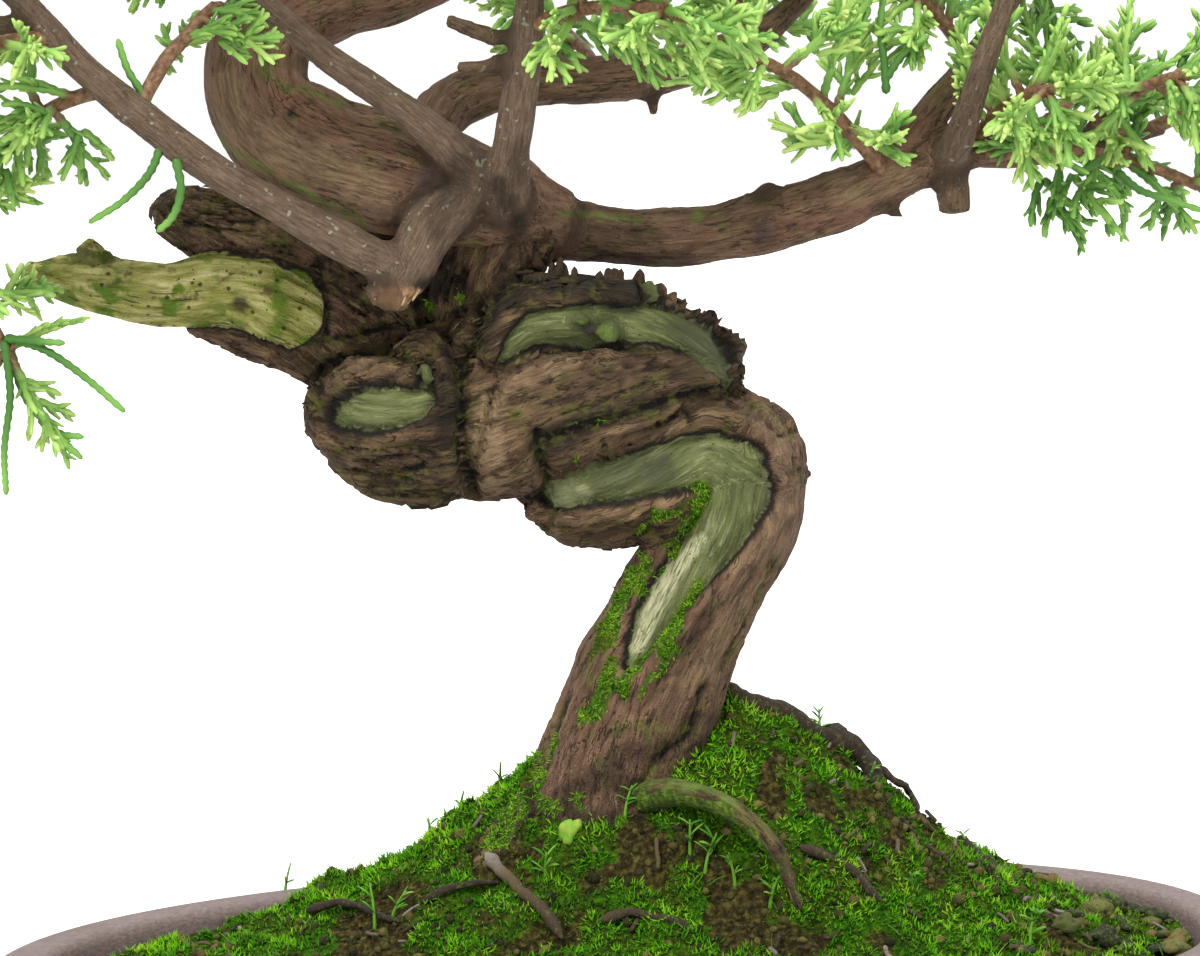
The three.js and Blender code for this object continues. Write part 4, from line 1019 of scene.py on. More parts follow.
def bark_paint():
    p = Paint("bark", roughness=0.8, specular=0.25)
    along = p.fibre(0.16)
    broad, medium = p.noise(0.13, 3, at=along), p.noise(0.55, 5, 0.6, at=along)
    fine = p.noise(2.2, 5, 0.65, at=along)
    spotty = p.noise(0.22, 4)
    tone_and_painted_shade, crease_edge, jin = p.value("tone_and_painted_shade"), p.value("crease"), p.value("jin")
    # The dark side of the tone and painted shade: the bark's own dark patches and painted shade
    darker_and_shaded = p.times(tone_and_painted_shade, -0.9, True)
    uneven = p.minus(fine, 0.5)
    specks = p.step(p.cells(0.62), 0.13, 0.07)

    # Old rough bark, smooth purple bark and the young bark of the twigs
    reddish = p.ramp(fine, (0.3, (54, 38, 30)), (0.5, (84, 60, 47)), (0.72, (116, 90, 72)))
    old = p.over(
        p.ramp(
            medium, (0.3, (32, 23, 13)), (0.45, (66, 50, 32)), (0.57, (94, 73, 48)), (0.72, (128, 105, 72))
        ),
        (p.step(broad, 0.52, 0.66), reddish),
        (p.step(spotty, 0.54, 0.7), (88, 86, 34), 0.6),
    )
    purple = p.over(
        p.ramp(medium, *PURPLE_BARK),
        (p.step(broad, 0.5, 0.7), p.ramp(fine, (0.3, (90, 61, 46)), (0.7, (134, 99, 76)))),
        (p.step(spotty, 0.53, 0.68), p.ramp(fine, (0.3, (74, 64, 38)), (0.7, (118, 106, 66)))),
    )
    young = p.over(
        p.ramp(fine, (0.25, (72, 56, 44)), (0.5, (103, 84, 67)), (0.75, (130, 110, 90))),
        (p.step(p.noise(0.7, 1), 0.69, 0.73), (150, 158, 134), 0.7),
    )

    # Bare deadwood, grey-green with dark and pale lines, and the paler wood of the dead limb
    wood_lines = p.noise(1.5, 3, 0.6, at=p.fibre(0.06))
    deadwood = p.over(
        p.ramp(
            medium, (0.25, (48, 56, 28)), (0.45, (76, 82, 42)), (0.6, (94, 98, 56)), (0.8, (118, 120, 80))
        ),
        (p.step(broad, 0.5, 0.68), (88, 108, 40)),
        (p.times(p.value("streak"), p.step(fine, 0.3, 0.6)), (164, 162, 126)),
        (p.step(wood_lines, 0.47, 0.34), (44, 48, 25), 0.6),
        (p.step(wood_lines, 0.56, 0.68), (134, 134, 98), 0.5),
        (specks, (30, 32, 20), 0.8),
        # Painted shade and paler wood on the bare deadwood, from the same places
        (darker_and_shaded, (40, 43, 24)),
        (p.times(tone_and_painted_shade, 0.8, True), (124, 120, 96)),
    )
    pale_wood = p.over(
        p.ramp(medium, *PALE_WOOD),
        (p.step(p.noise(0.2, 4), 0.5, 0.64), (84, 108, 26)),
        (p.step(p.noise(0.3, 5), 0.6, 0.68), (88, 66, 44), 0.8),
        (p.step(p.noise(1.1, 2, at=p.fibre(0.1)), 0.36, 0.3), (40, 38, 18), 0.8),
        (specks, (30, 26, 14)),
        (p.step(p.cells(0.42), 0.2, 0.12), (36, 34, 16), 0.85),
    )

    # Lines in the bark, painted shade along its creases, and the dark edge of the deadwood
    lines = p.math("ABSOLUTE", p.minus(p.noise(0.75, 3, 0.6, at=p.fibre(0.12)), 0.5))
    lines = p.times(p.step(lines, 0.024, 0.006), p.step(spotty, 0.36, 0.5))
    crease = p.step(p.plus(crease_edge, uneven), 0.5, 0.12)
    dust = p.times(p.step(crease_edge, 2.4, 0.5), p.step(p.noise(0.5, 3), 0.46, 0.6))
    edge = p.plus(p.value("edge"), p.times(uneven, 0.5))
    dead = p.step(edge, 0.12, -0.06)
    mossy = p.minus(p.plus(p.value("moss"), p.times(fine, 0.6)), 0.3)
    tan = p.ramp(fine, (0.3, (94, 76, 56)), (0.5, (126, 103, 78)), (0.7, (152, 129, 98)))
    green = p.ramp(p.noise(1.1, 4), (0.3, (34, 48, 10)), (0.5, (66, 90, 16)), (0.7, (110, 126, 40)))
    colour = p.over(
        old,
        (p.value("purple"), purple),
        (p.step(p.noise(2.4, 2, at=p.fibre(0.07)), 0.62, 0.7), (150, 128, 96), 0.4),
        (lines, (20, 14, 9), 0.75),
        (p.value("young"), young),
        # Tan patches with painted light, then dark patches with painted shade
        (p.times(tone_and_painted_shade, 0.85, True), tan),
        (darker_and_shaded, p.ramp(fine, (0.3, (12, 9, 5)), (0.5, (26, 19, 11)), (0.75, (50, 38, 25)))),
        # Painted shade in the hollows of the relief
        (p.value("hollow_shade"), (16, 12, 9), 0.85),
        # Painted shade along the creases
        (crease, (14, 10, 7), 0.93),
        (dust, p.ramp(fine, (0.3, (48, 50, 14)), (0.7, (104, 104, 36))), 0.6),
        (dead, deadwood),
        (p.times(p.step(edge, 0.55, 0.12), p.step(edge, -0.35, 0.0)), (16, 12, 8), 0.9),
        (p.step(jin, 0.35, 0.65), pale_wood),
        (p.times(p.step(jin, 0.04, 0.2), p.step(jin, 0.85, 0.5)), (20, 16, 9), 0.85),
        (p.value("knot"), (58, 46, 50), 0.7),
        (p.value("scar"), p.ramp(fine, (0.3, (58, 78, 24)), (0.7, (106, 120, 54)))),
        (p.value("torn"), p.ramp(fine, (0.3, (100, 68, 42)), (0.6, (156, 124, 92)))),
        (p.step(mossy, 0.35, 0.6), green),
    )
    height = p.plus(p.times(fine, 0.9), p.noise(2.6, 5))
    height = p.minus(p.minus(height, p.times(crease, 0.8)), p.times(lines, 0.5))
    height = p.times(height, p.minus(1.2, p.times(dead, 0.85)))
    return p.finish(colour, height, 0.5, roughness=p.minus(0.85, p.times(dead, 0.2)))


BARK = bark_paint()
place(bpy.data.objects.new("trunk_wood", trunk_mesh), BARK, "bark", "trunk")
place(bpy.data.objects.new("branch_wood", branch_mesh), BARK, "bark")


# Loose flakes on the rough bark, shards on the upper lip, and splinters on the torn end
surface = to_tree(places)
draw = np.random.default_rng(51)
flakes = Shape()
WEDGE = [[0, 1, 3], [0, 3, 2], [0, 4, 5], [0, 5, 1], [2, 3, 5], [2, 5, 4], [0, 2, 4], [1, 5, 3]]
hold = np.clip(looks[:, 0] - 0.55, 0, 1) * (1 - bare) * (1 - jin) * (1 - smooth(0.2, 0.6, moss))
hold = hold * (spots[:, 2] > 70) * of_kind("coil", "bark", "jin_lip")
for k in draw.choice(len(spots), COUNTS["flakes"], replace=False, p=hold / hold.sum()):
    long, wide, lift = draw.uniform(1.6, 4.4), draw.uniform(0.35, 0.9), draw.uniform(0.1, 0.4)
    n, way = facing[k], grain_way[k] + draw.normal(0, 0.18, 3)
    way = way - n * way.dot(n)
    way /= np.linalg.norm(way)
    side = np.cross(way, n)
    at = surface[k]
    sunk = [at + way * long * f + side * wide / 2 - n * 0.3 for f in (-0.5, 0.5)]
    high = [at + way * long * f - side * wide / 2 + n * lift for f in (-0.35, 0.3)]
    under = [point - n * 0.4 for point in high]
    # Flakes grow dark with the dark places, painted shade included
    flakes.add(sunk + high + under, WEDGE, tone=draw.uniform(0.25, 0.75) + 0.25 * min(tone_and_painted_shade[k], 0))
upper_lip = of_limb("coil_upper", "coil_behind_right", "coil_filling")
for u, pixels_tall in SHARDS:
    tall = pixels_tall / PIXELS_PER_MM
    near = np.nonzero((np.abs(pixels[:, 0] - u) < 4) & upper_lip)[0]
    root = surface[near[seen_at(surface[near])[:, 1].argmin()]]
    tip = root + (draw.normal(0, 0.4) * tall, 0, tall + 0.3)
    line = np.linspace(root - (0, 0, 1.2), tip, 6)
    line = line + 0.4 * np.stack([wave(line / 0.9 + k, 64) for k in range(3)], -1)
    flakes.add(*tube(line, np.linspace(1.5, 0.8, 6), 6, flat=0.7, turn=draw.uniform(-0.5, 0.5)), tone=0.3)
for u, v in SPLINTERS:
    root = on_photo(u + 5, v - 11, -17 + draw.normal(0, 0.6))
    line = np.linspace(root, on_photo(u, v + 1, -18 + draw.normal(0, 0.6)), 5)
    flakes.add(*tube(line, np.linspace(1.3, 0.3, 5), 5, flat=0.5), tone=1.0)
FLAKE_TONES = [
    (0.0, (24, 18, 13)), (0.4, (62, 48, 36)), (0.7, (98, 80, 60)), (0.8, (112, 94, 70)),
    (0.95, (180, 148, 112)),
]
flake_paint = toned_paint(
    "bark_flakes", 0.9, 0.15, FLAKE_TONES,
    speckle=(1.7, 4, 0.7), film=(0.5, 0.7, (70, 66, 34), 0.5), depth=0.3,
)
flakes.make("bark_flakes", flake_paint, "bark")


# Soil mound, in the pot's axes as the solid has it
def mound_height(distance):
    """Height by the distance from the mound's middle, as a smooth curve through the profile."""
    given = np.array(MOUND_PROFILE, float)
    p = np.vstack([2 * given[0] - given[1], given, 2 * given[-1] - given[-2]])
    span = np.clip(np.searchsorted(given[:, 0], distance, "right") - 1, 0, len(given) - 2)
    w = (distance - given[span, 0]) / (given[span + 1, 0] - given[span, 0])
    a, b, c, d = (p[span + i, 1] for i in range(4))
    height = b + 0.5 * w * (c - a + w * (2 * a - 5 * b + 4 * c - d + w * (3 * (b - c) + d - a)))
    return np.where(distance >= given[-1, 0], 0, height)


def soil_height(points):
    """Height of the soil at points in the pot's own axes in mm, without the crumbs."""
    tree = turned(points, -TREE_TURN) - TREE_STANDS
    x, y = tree[..., 0], tree[..., 1]
    along, across = x - MOUND["x"], y - MOUND["y"]
    along = along * np.where(along < 0, MOUND["left"], 1)
    across = across * np.where(across < 0, MOUND["front"], MOUND["back"])
    lumps = np.sin(x * 0.31) * np.cos(y * 0.27 + 1) + 0.6 * np.sin(x * 0.62 + y * 0.55)
    return SOIL_LEVEL + mound_height(np.hypot(along, across)) + 0.8 * lumps


def oval(inset, angle):
    """Points of the pot's outline, some way in from its rim."""
    power = 2 / POT["squareness"]
    c, s = np.cos(angle), np.sin(angle)
    x = (POT["length"] - inset) * np.sign(c) * np.abs(c) ** power
    return x, (POT["width"] - inset) * np.sign(s) * np.abs(s) ** power


def soil_detail(points):
    """Crumbs and moss cushions on the mound in mm, how mossy it is, and how high each cushion stands."""
    lumps = rough(points / 9, 3, 31)
    mossy = smooth(-0.12, 0.14, rough(points / 14, 3, 32) + 0.4 * rough(points / 3.4, 2, 33) + 0.05)
    cushion = mossy * (1 - np.abs(wave(points / 3.6, 34))) ** 1.6
    grains = (0.8 * np.abs(wave(points / 1.7, 35)) + 0.6 * rough(points / 1.1, 2, 36)) * (1 - 0.5 * mossy)
    return 1.1 * lumps + 1.9 * cushion + grains - 1.1, mossy, cushion


# Circles on the photograph: cushions of bright moss, and bare earth
MOSSY_PLACES = [
    (558, 882, 24), (641, 902, 15), (748, 750, 20), (787, 822, 15), (860, 822, 26), (865, 897, 22),
    (850, 945, 28), (600, 932, 18), (700, 945, 20), (452, 846, 14), (400, 862, 14), (800, 765, 14),
]
BARE_PLACES = [(690, 838, 22), (751, 889, 18), (594, 874, 8), (484, 917, 15), (935, 880, 14)]
SECTORS, RINGS = 340, 88
SKIRT = ((11.5, 42.0), (16, 26.0))
UNDERSIDE = 22.0
middle = tree_to_pot([MOUND["x"], MOUND["y"], 0])
angle = np.linspace(0, FULL_TURN, SECTORS, endpoint=False)
edge_x, edge_y = oval(SKIRT[0][0], angle)
share = 1 - np.linspace(0, 1, RINGS + 1)[:-1]
x = middle[0] + share[:, None] * (edge_x - middle[0])
y = middle[1] + share[:, None] * (edge_y - middle[1])
ground = np.stack([x, y, np.zeros_like(x)], -1).reshape(-1, 3)
ground[:, 2] = soil_height(ground)
extra, mossy, cushion = soil_detail(ground)
ground_pixels = seen_at(pot_to_tree(ground))
for places_there, gain in ((MOSSY_PLACES, 1), (BARE_PLACES, 0)):
    for u, v, size in places_there:
        away = np.hypot(ground_pixels[:, 0] - u, (ground_pixels[:, 1] - v) * 1.4) / size
        away = away + 0.55 * rough(ground / 4, 2, 67)
        inside = (1 - smooth(0.55, 1.25, away)) * (ground[:, 1] < middle[1] + 6)
        mossy = mossy + inside * (gain - mossy)
        cushion = cushion + inside * (gain * (0.55 + 0.45 * cushion) - cushion)
ground[:, 2] += extra * np.repeat(smooth(0, 0.06, 1 - share), SECTORS)
skirt = [np.stack([*oval(inset, angle), np.full(SECTORS, height)], -1) for inset, height in SKIRT]
ground = np.vstack([ground, *skirt, [*middle[:2], soil_height(middle)], [0, 0, UNDERSIDE]])
mossy, cushion = (np.pad(v, (0, len(ground) - len(v))) for v in (mossy, cushion))
i = np.arange(SECTORS)
j = (i + 1) % SECTORS


def band(first, second, a, b):
    """Faces between two rings of the mound, from where their points start."""
    return np.stack([first + a, first + b, second + b, second + a], 1)


starts = np.arange(RINGS + 2) * SECTORS
inmost, outer, lower = starts[-3:]
faces = [band(start, start + SECTORS, i, j) for start in starts[: RINGS - 1]]
faces += [band(0, outer, j, i), band(outer, lower, j, i)]
fans = [np.stack([inmost + i, inmost + j, np.full(SECTORS, len(ground) - 2)], 1)]
fans += [np.stack([lower + j, lower + i, np.full(SECTORS, len(ground) - 1)], 1)]


def soil_paint():
    p = Paint("moss_and_soil", roughness=1.0, specular=0.08)
    fine = p.noise(0.9, 6, 0.65)
    earth = p.ramp(
        fine, (0.32, (16, 14, 7)), (0.48, (44, 39, 18)), (0.6, (72, 65, 29)), (0.75, (106, 97, 50))
    )
    dull = p.ramp(fine, (0.3, (18, 26, 6)), (0.5, (46, 58, 12)), (0.7, (80, 92, 26)))
    bright = p.ramp(
        fine, (0.28, (14, 32, 3)), (0.45, (34, 68, 5)), (0.6, (54, 96, 8)), (0.78, (92, 128, 20))
    )
    moss_colour = p.over(dull, (p.step(p.noise(0.12, 4), 0.42, 0.6), bright))
    amount = p.step(p.plus(p.value("mossy"), p.times(p.minus(fine, 0.5), 0.9)), 0.35, 0.62)
    height = p.plus(fine, p.times(p.noise(2.8, 4), 0.6))
    return p.finish(p.over(earth, (amount, moss_colour)), height, 0.8)


soil = Shape()
soil.add(ground, np.vstack(faces), mossy=mossy)
soil.faces.append(np.vstack(fans))
soil_piece = soil.make("soil_mound", soil_paint(), "moss_and_soil", "soil", put=pot_to_world)


# Moss shoots, as thin closed blades that stand on a mesh where it is mossy
def blades_on(shape, mesh, weight, count, length, width, seed, lie=0.35, growth=None, mood=0.5):
    """Adds blades at random on a mesh's faces, more where the weight of its points is high.

    Lengths and widths are ranges in mm. A high lie makes the blades rise.
    Growth makes them long and pale.
    """
    draw = np.random.default_rng(seed)
    mesh.calc_loop_triangles()
    corners = read(mesh.loop_triangles, "vertices", 3, int)
    at = read(mesh.vertices, "co", 3)
    a, b, c = (at[corners[:, k]] for k in range(3))
    cross = np.cross(b - a, c - a)
    area = np.linalg.norm(cross, axis=1)
    chance = area * weight[corners].mean(1)
    chosen = draw.choice(len(corners), count, p=chance / chance.sum())
    r1, r2 = np.sqrt(draw.random(count)), draw.random(count)
    shares = np.stack([1 - r1, r1 * (1 - r2), r1 * r2])[..., None]
    roots = a[chosen] * shares[0] + b[chosen] * shares[1] + c[chosen] * shares[2]
    up = cross[chosen] / area[chosen, None] * 0.8 + draw.normal(0, 0.55, (count, 3)) + (0, 0, lie)
    up /= np.linalg.norm(up, axis=1)[:, None]
    side = np.cross(up, draw.normal(0, 1, (count, 3)))
    side /= np.linalg.norm(side, axis=1)[:, None]
    over = np.cross(up, side)
    tall = draw.uniform(length[0], length[1], count)[:, None] * MM
    tone = mood + 0.45 * wave(roots / MM / 3.1, seed) + draw.normal(0, 0.13, count)
    if growth is not None:
        high = growth[corners[chosen]].mean(1)
        tall = tall * (0.55 + 0.75 * high[:, None])
        tone = tone - 0.25 + 0.5 * high
    wide = draw.uniform(width[0], width[1], count)[:, None] * MM / 2
    roots = roots - up * tall * 0.15
    feet = [roots + side * wide, roots - side * wide, roots + over * wide * 0.6]
    points = np.stack([*feet, roots + up * tall], 1).reshape(-1, 3)
    n = np.arange(count)[:, None] * 4
    faces = np.vstack([n + f for f in ((0, 1, 3), (1, 2, 3), (2, 0, 3), (1, 0, 2))])
    tip = np.tile([0.0, 0.0, 0.0, 1.0], count)
    shape.add(points, faces, tone=np.repeat(np.clip(tone, 0, 1), 4), tip=tip)


def moss_paint():
    p = Paint("moss", roughness=0.9, specular=0.08)
    tone = p.value("tone")
    deep = p.ramp(tone, (0.0, (14, 32, 2)), (0.5, (28, 64, 3)), (1.0, (48, 98, 6)))
    light = p.ramp(
        tone, (0.0, (40, 80, 5)), (0.4, (68, 134, 6)), (0.75, (98, 166, 12)), (1.0, (146, 190, 42))
    )
    dry = p.step(p.noise(0.09, 3), 0.54, 0.68)
    colour = p.over(deep, (p.value("tip"), light), (dry, (72, 78, 18), 0.7))
    return p.finish(colour, p.noise(2.0, 2), 0.1, 0.3)


MOSS_PAINT = moss_paint()
mound_moss = Shape()
blades_on(
    mound_moss, soil_piece.data, mossy * (0.35 + cushion), COUNTS["mound_moss"],
    length=(0.8, 2.0), width=(0.4, 0.72), seed=41, growth=cushion,
)
mound_moss.make("mound_moss", MOSS_PAINT, "moss_and_soil", put=np.asarray)
trunk_moss = Shape()
blades_on(
    trunk_moss, trunk_mesh, smooth(0.3, 0.8, moss[own_part[0]]), COUNTS["trunk_moss"],
    length=(0.6, 1.6), width=(0.28, 0.48), seed=42, lie=-0.15, mood=0.88,
)
trunk_moss.make("trunk_moss", MOSS_PAINT, "moss_and_soil", put=np.asarray)


# Pebbles, sprouts, dead roots and twigs on the mound
def sphere(detail):
    ball = bmesh.new()
    bmesh.ops.create_icosphere(ball, subdivisions=detail, radius=1)
    points = np.array([v.co[:] for v in ball.verts])
    faces = np.array([[v.index for v in f.verts] for f in ball.faces])
    ball.free()
    return points, faces


def scattered(nearest, farthest, turns=(0, FULL_TURN)):
    """A point drawn at random on the soil, between two distances in from the rim, as (angle, point)."""
    turn = draw.uniform(*turns)
    x, y = oval(draw.uniform(nearest, farthest), np.array([turn]))
    at = np.array([x[0], y[0], 0])
    at[2] = soil_height(at)
    return turn, at


BALLS = {True: sphere(3), False: sphere(2)}
pebbles = Shape()
draw = np.random.default_rng(43)
for k in range(COUNTS["pebbles"]):
    turn, at = scattered(12.5, 32, (-0.9, 0.75)) if k % 3 == 0 else scattered(12.5, 24)
    big = k % 6 == 0
    size = draw.uniform(1.3, 2.2) if big else draw.uniform(0.5, 1.25)
    ball, ball_faces = BALLS[big]
    lumps = 1 + 0.5 * wave(ball * 1.1 + 9 * k, 44) + 0.16 * wave(ball * 2.6 + k, 45)
    body = ball * lumps[:, None] * (draw.uniform(1, 1.4), 1, draw.uniform(0.55, 0.85)) * size
    pebbles.add(turned(body, turn * 7) + at + (0, 0, size * 0.2), ball_faces, tone=draw.random())
PEBBLE_TONES = [
    (0.0, (24, 24, 18)), (0.25, (42, 42, 28)), (0.42, (78, 80, 38)), (0.56, (110, 106, 56)),
    (0.7, (92, 64, 36)), (0.85, (122, 94, 52)), (1.0, (64, 50, 38)),
]
pebble_paint = toned_paint(
    "pebbles", 0.85, 0.3, PEBBLE_TONES,
    speckle=(1.3, 5, 0.7), film=(0.46, 0.62, (66, 84, 18)), depth=0.7, relief=(1.6, 6, 0.75),
)
pebbles.make("pebbles", pebble_paint, "moss_and_soil", put=pot_to_world)

crumb_points, crumb_faces = sphere(1)
soil_crumbs = Shape()
draw = np.random.default_rng(49)
for k in range(COUNTS["crumbs"]):
    _, at = scattered(12.5, 60)
    size = draw.uniform(0.35, 1.0)
    uneven = 1 + 0.5 * (draw.random((len(crumb_points), 1)) - 0.5)
    body = crumb_points * uneven * size * draw.uniform(0.7, 1.3, 3)
    at[2] += soil_detail(at[None])[0][0] + size * 0.2
    soil_crumbs.add(body + at, crumb_faces, tone=draw.random() * 0.9)
CRUMB_TONES = [(0.0, (22, 18, 10)), (0.4, (50, 43, 21)), (0.7, (78, 68, 34)), (1.0, (112, 98, 54))]
crumb_paint = toned_paint(
    "soil_crumbs", 0.95, 0.2, CRUMB_TONES, speckle=(1.8, 4, 0.7), film=(0.5, 0.66, (52, 68, 14)), depth=0.4
)
soil_crumbs.make("soil_crumbs", crumb_paint, "moss_and_soil", put=pot_to_world)


def on_mound(u, v):
    """The point of the mound, in tree axes, that the photograph shows at a pixel."""
    best, best_gap = None, 1e9
    for depth in np.arange(-75, 20, 0.5):
        at = on_photo(u, v, depth)
        gap = at[2] - soil_height(tree_to_pot(at))
        if gap < 0.3:
            return at
        if gap < best_gap:
            best, best_gap = at, gap
    return best


# Sprouts on the photograph: across, down, height in mm and pairs of leaves
SPROUTS = [
    (375, 925, 9, 2), (392, 915, 6, 3), (820, 722, 6, 4), (812, 728, 3, 2), (970, 842, 5, 3),
    (285, 885, 6, 1), (705, 870, 8, 4), (735, 880, 6, 3), (625, 812, 6, 3), (690, 850, 7, 3),
    (1030, 945, 8, 4), (500, 770, 6, 1), (460, 805, 5, 1), (770, 900, 6, 3), (545, 880, 7, 3),
    (870, 780, 5, 2), (915, 890, 5, 3), (430, 830, 5, 2),
]
sprouts = Shape()
draw = np.random.default_rng(46)
for u, v, height, pairs in SPROUTS:
    root = on_mound(u, v)
    root[2] = min(root[2], soil_height(tree_to_pot(root)))
    lean = draw.normal(0, 0.25, 3) * (1, 1, 0)
    t = np.linspace(0, 1, 8)[:, None]
    stem = root + (0, 0, -1.2) + (lean * t**2 + np.array([0, 0, 1]) * t) * (height * 0.75 + 1)
    sprouts.add(*tube(stem, np.linspace(0.35, 0.15, 8), 5), tone=0.6, tip=0.6)
    for k in range(pairs * 2):
        at = stem[3 + (k // 2) * 5 // pairs]
        way = draw.uniform(0, FULL_TURN) + math.pi * (k % 2)
        out = np.array([math.cos(way), math.sin(way), draw.uniform(0.6, 1.3)])
        long = height * draw.uniform(0.28, 0.42)
        leaf = at + out * t * long + np.array([0, 0, -0.35 * long]) * t**2
        broad = np.sin(np.pi * np.clip(t[:, 0] * 0.92 + 0.08, 0, 1)) ** 0.8 * long * 0.22 + 0.05
        sprouts.add(*tube(leaf, broad, 6, flat=0.3), tone=draw.uniform(0.3, 0.8), tip=0.8)
for k in range(COUNTS["grass"]):
    root = pot_to_tree(scattered(15, 55)[1] + (0, 0, 0.3))
    out = draw.normal(0, 0.5, 3) * (1, 1, 0) + (0, 0, 1)
    long = draw.uniform(1.5, 3.2)
    t = np.linspace(0, 1, 6)[:, None]
    blade = root + out * t * long + np.array([0.2, 0, -0.3]) * long * t**2
    sprouts.add(*tube(blade, np.linspace(0.28, 0.07, 6), 4, flat=0.4), tone=draw.random(), tip=0.5)

# A pale lump of young moss left of the arched root
LUMP_AT = (570, 833)
lump, lump_faces = BALLS[True]
lump_tone = np.clip(0.82 + 0.2 * wave(lump * 3, 69), 0, 1)
lump = lump * (1 + 0.5 * wave(lump * 1.6, 59) + 0.25 * wave(lump * 4, 68))[:, None] * (1.7, 1.1, 2)
sprouts.add(lump + on_mound(*LUMP_AT), lump_faces, tone=lump_tone, tip=0.5)


def sprout_paint():
    p = Paint("sprouts", roughness=0.6, specular=0.25)
    tone = p.value("tone")
    colour = p.ramp(
        tone, (0.0, (38, 82, 10)), (0.5, (66, 124, 20)), (0.8, (104, 148, 42)), (1.0, (146, 150, 62))
    )
    return p.finish(colour, p.noise(2.0, 2), 0.1, 0.3)


sprouts.make("sprouts", sprout_paint(), "moss_and_soil")

# Fallen twigs and dead roots: (pixel across, pixel down) along each, lift and radii in mm, and tone
DEAD_ROOTS = [
    ([(487, 858), (505, 878), (530, 902), (562, 942)], 0.9, (1.1, 0.95), 0.9),
    ([(958, 838), (985, 862), (1018, 886)], 0.6, (1.1, 0.7), 0.1),
    ([(722, 690), (745, 705), (790, 722), (838, 745)], 0.8, (2.2, 1.5), 0.3),
    ([(826, 742), (850, 752), (868, 768), (880, 790)], 1.0, (2.6, 1.2), 0.2),
    ([(880, 775), (896, 788), (910, 800), (918, 818)], 1.2, (0.8, 0.45), 0.2),
    ([(600, 925), (640, 915), (700, 935)], 0.5, (0.9, 0.5), 0.4),
    ([(420, 905), (455, 890), (500, 885)], 0.4, (0.8, 0.5), 0.2),
    ([(800, 850), (850, 870), (880, 905)], 0.4, (0.9, 0.6), 0.3),
    ([(310, 915), (350, 905), (400, 925)], 0.5, (0.8, 0.5), 0.2),
]
ROUND_END = (0.35, 0.6, 0.8, 0.93)
litter = Shape()
for trail, lift, (first, last), tone in DEAD_ROOTS:
    route = spline([on_mound(u, v) + (0, 0, lift) for u, v in trail], 40)
    wobble = np.stack([wave(route / 4 + k * 9, 50 + k) for k in range(3)], -1)
    radius = np.linspace(first, last, 40) * (1 + 0.25 * wave(route / 1.6, 55))
    radius[:4] *= ROUND_END
    radius[-4:] *= ROUND_END[::-1]
    fade = tone * np.linspace(1.1, 0.35, 40)
    litter.add(*tube(route + wobble * 0.7, radius, 9), tone=np.append(np.repeat(fade, 9), fade[[0, -1]]))
draw = np.random.default_rng(47)
for k in range(COUNTS["chips"]):
    _, at = scattered(13, 58)
    long, way = draw.uniform(1, 3.2), draw.uniform(0, FULL_TURN)
    t = np.linspace(-0.5, 0.5, 5)[:, None]
    chip = at + t * long * np.array([math.cos(way), math.sin(way), 0])
    chip[:, 2] = soil_height(chip) + 0.7
    chip = pot_to_tree(chip) + wave(chip / 2, 58)[:, None] * 0.3
    litter.add(*tube(chip, np.full(5, draw.uniform(0.18, 0.45)), 5), tone=draw.random())
LITTER_TONES = [(0.0, (28, 20, 14)), (0.35, (54, 40, 28)), (0.7, (80, 66, 44)), (1.0, (128, 118, 112))]
litter_paint = toned_paint(
    "litter", 0.85, 0.3, LITTER_TONES, speckle=(1.2, 5, 0.7), film=(0.5, 0.7, (74, 78, 36)), depth=0.5
)
litter.make("litter", litter_paint, "bark")

# Pot: its walls from the base up to the rim and down again, as (inset in mm, share of the rim's height)
OUTER_WALL = [(20, 0.12), (13.5, 0.2), (9, 0.42), (6.5, 0.66), (5.6, 0.8), (1.4, 0.83), (0, 0.88), (1, 0.97)]
INNER_WALL = [(3.5, 1), (8, 1), (9.8, 0.98), (10.4, 0.94), (11.2, 0.8), (14, 0.46), (20, 0.28)]


def pot_profile():
    """The wall's section as (inset, height), with its corners eased."""
    given = np.array([(inset, height * POT["rim"]) for inset, height in OUTER_WALL + INNER_WALL])
    for _ in range(3):
        a, b = given[:-1], given[1:]
        cut = np.stack([a * 0.75 + b * 0.25, a * 0.25 + b * 0.75], 1).reshape(-1, 2)
        given = np.vstack([given[:1], cut, given[-1:]])
    return given


def clay_paint():
    p = Paint("clay", roughness=0.55, specular=0.35)
    fine = p.noise(0.9, 6, 0.7, at=p.place(2.5))
    grit = p.step(p.cells(0.75), 0.16, 0.08)
    colour = p.over(
        p.ramp(fine, (0.3, (80, 65, 62)), (0.5, (101, 86, 82)), (0.7, (120, 104, 99))),
        (p.step(p.noise(0.03, 4, at=p.place(3)), 0.45, 0.7), (88, 71, 65)),
        (grit, (136, 118, 108), 0.35),
        (p.step(p.noise(0.16, 5, 0.7), 0.66, 0.75), (172, 162, 156), 0.35),
    )
    height = p.plus(fine, p.times(grit, -0.5))
    return p.finish(colour, height, 0.22, 0.8, p.plus(0.42, p.times(fine, 0.3)))


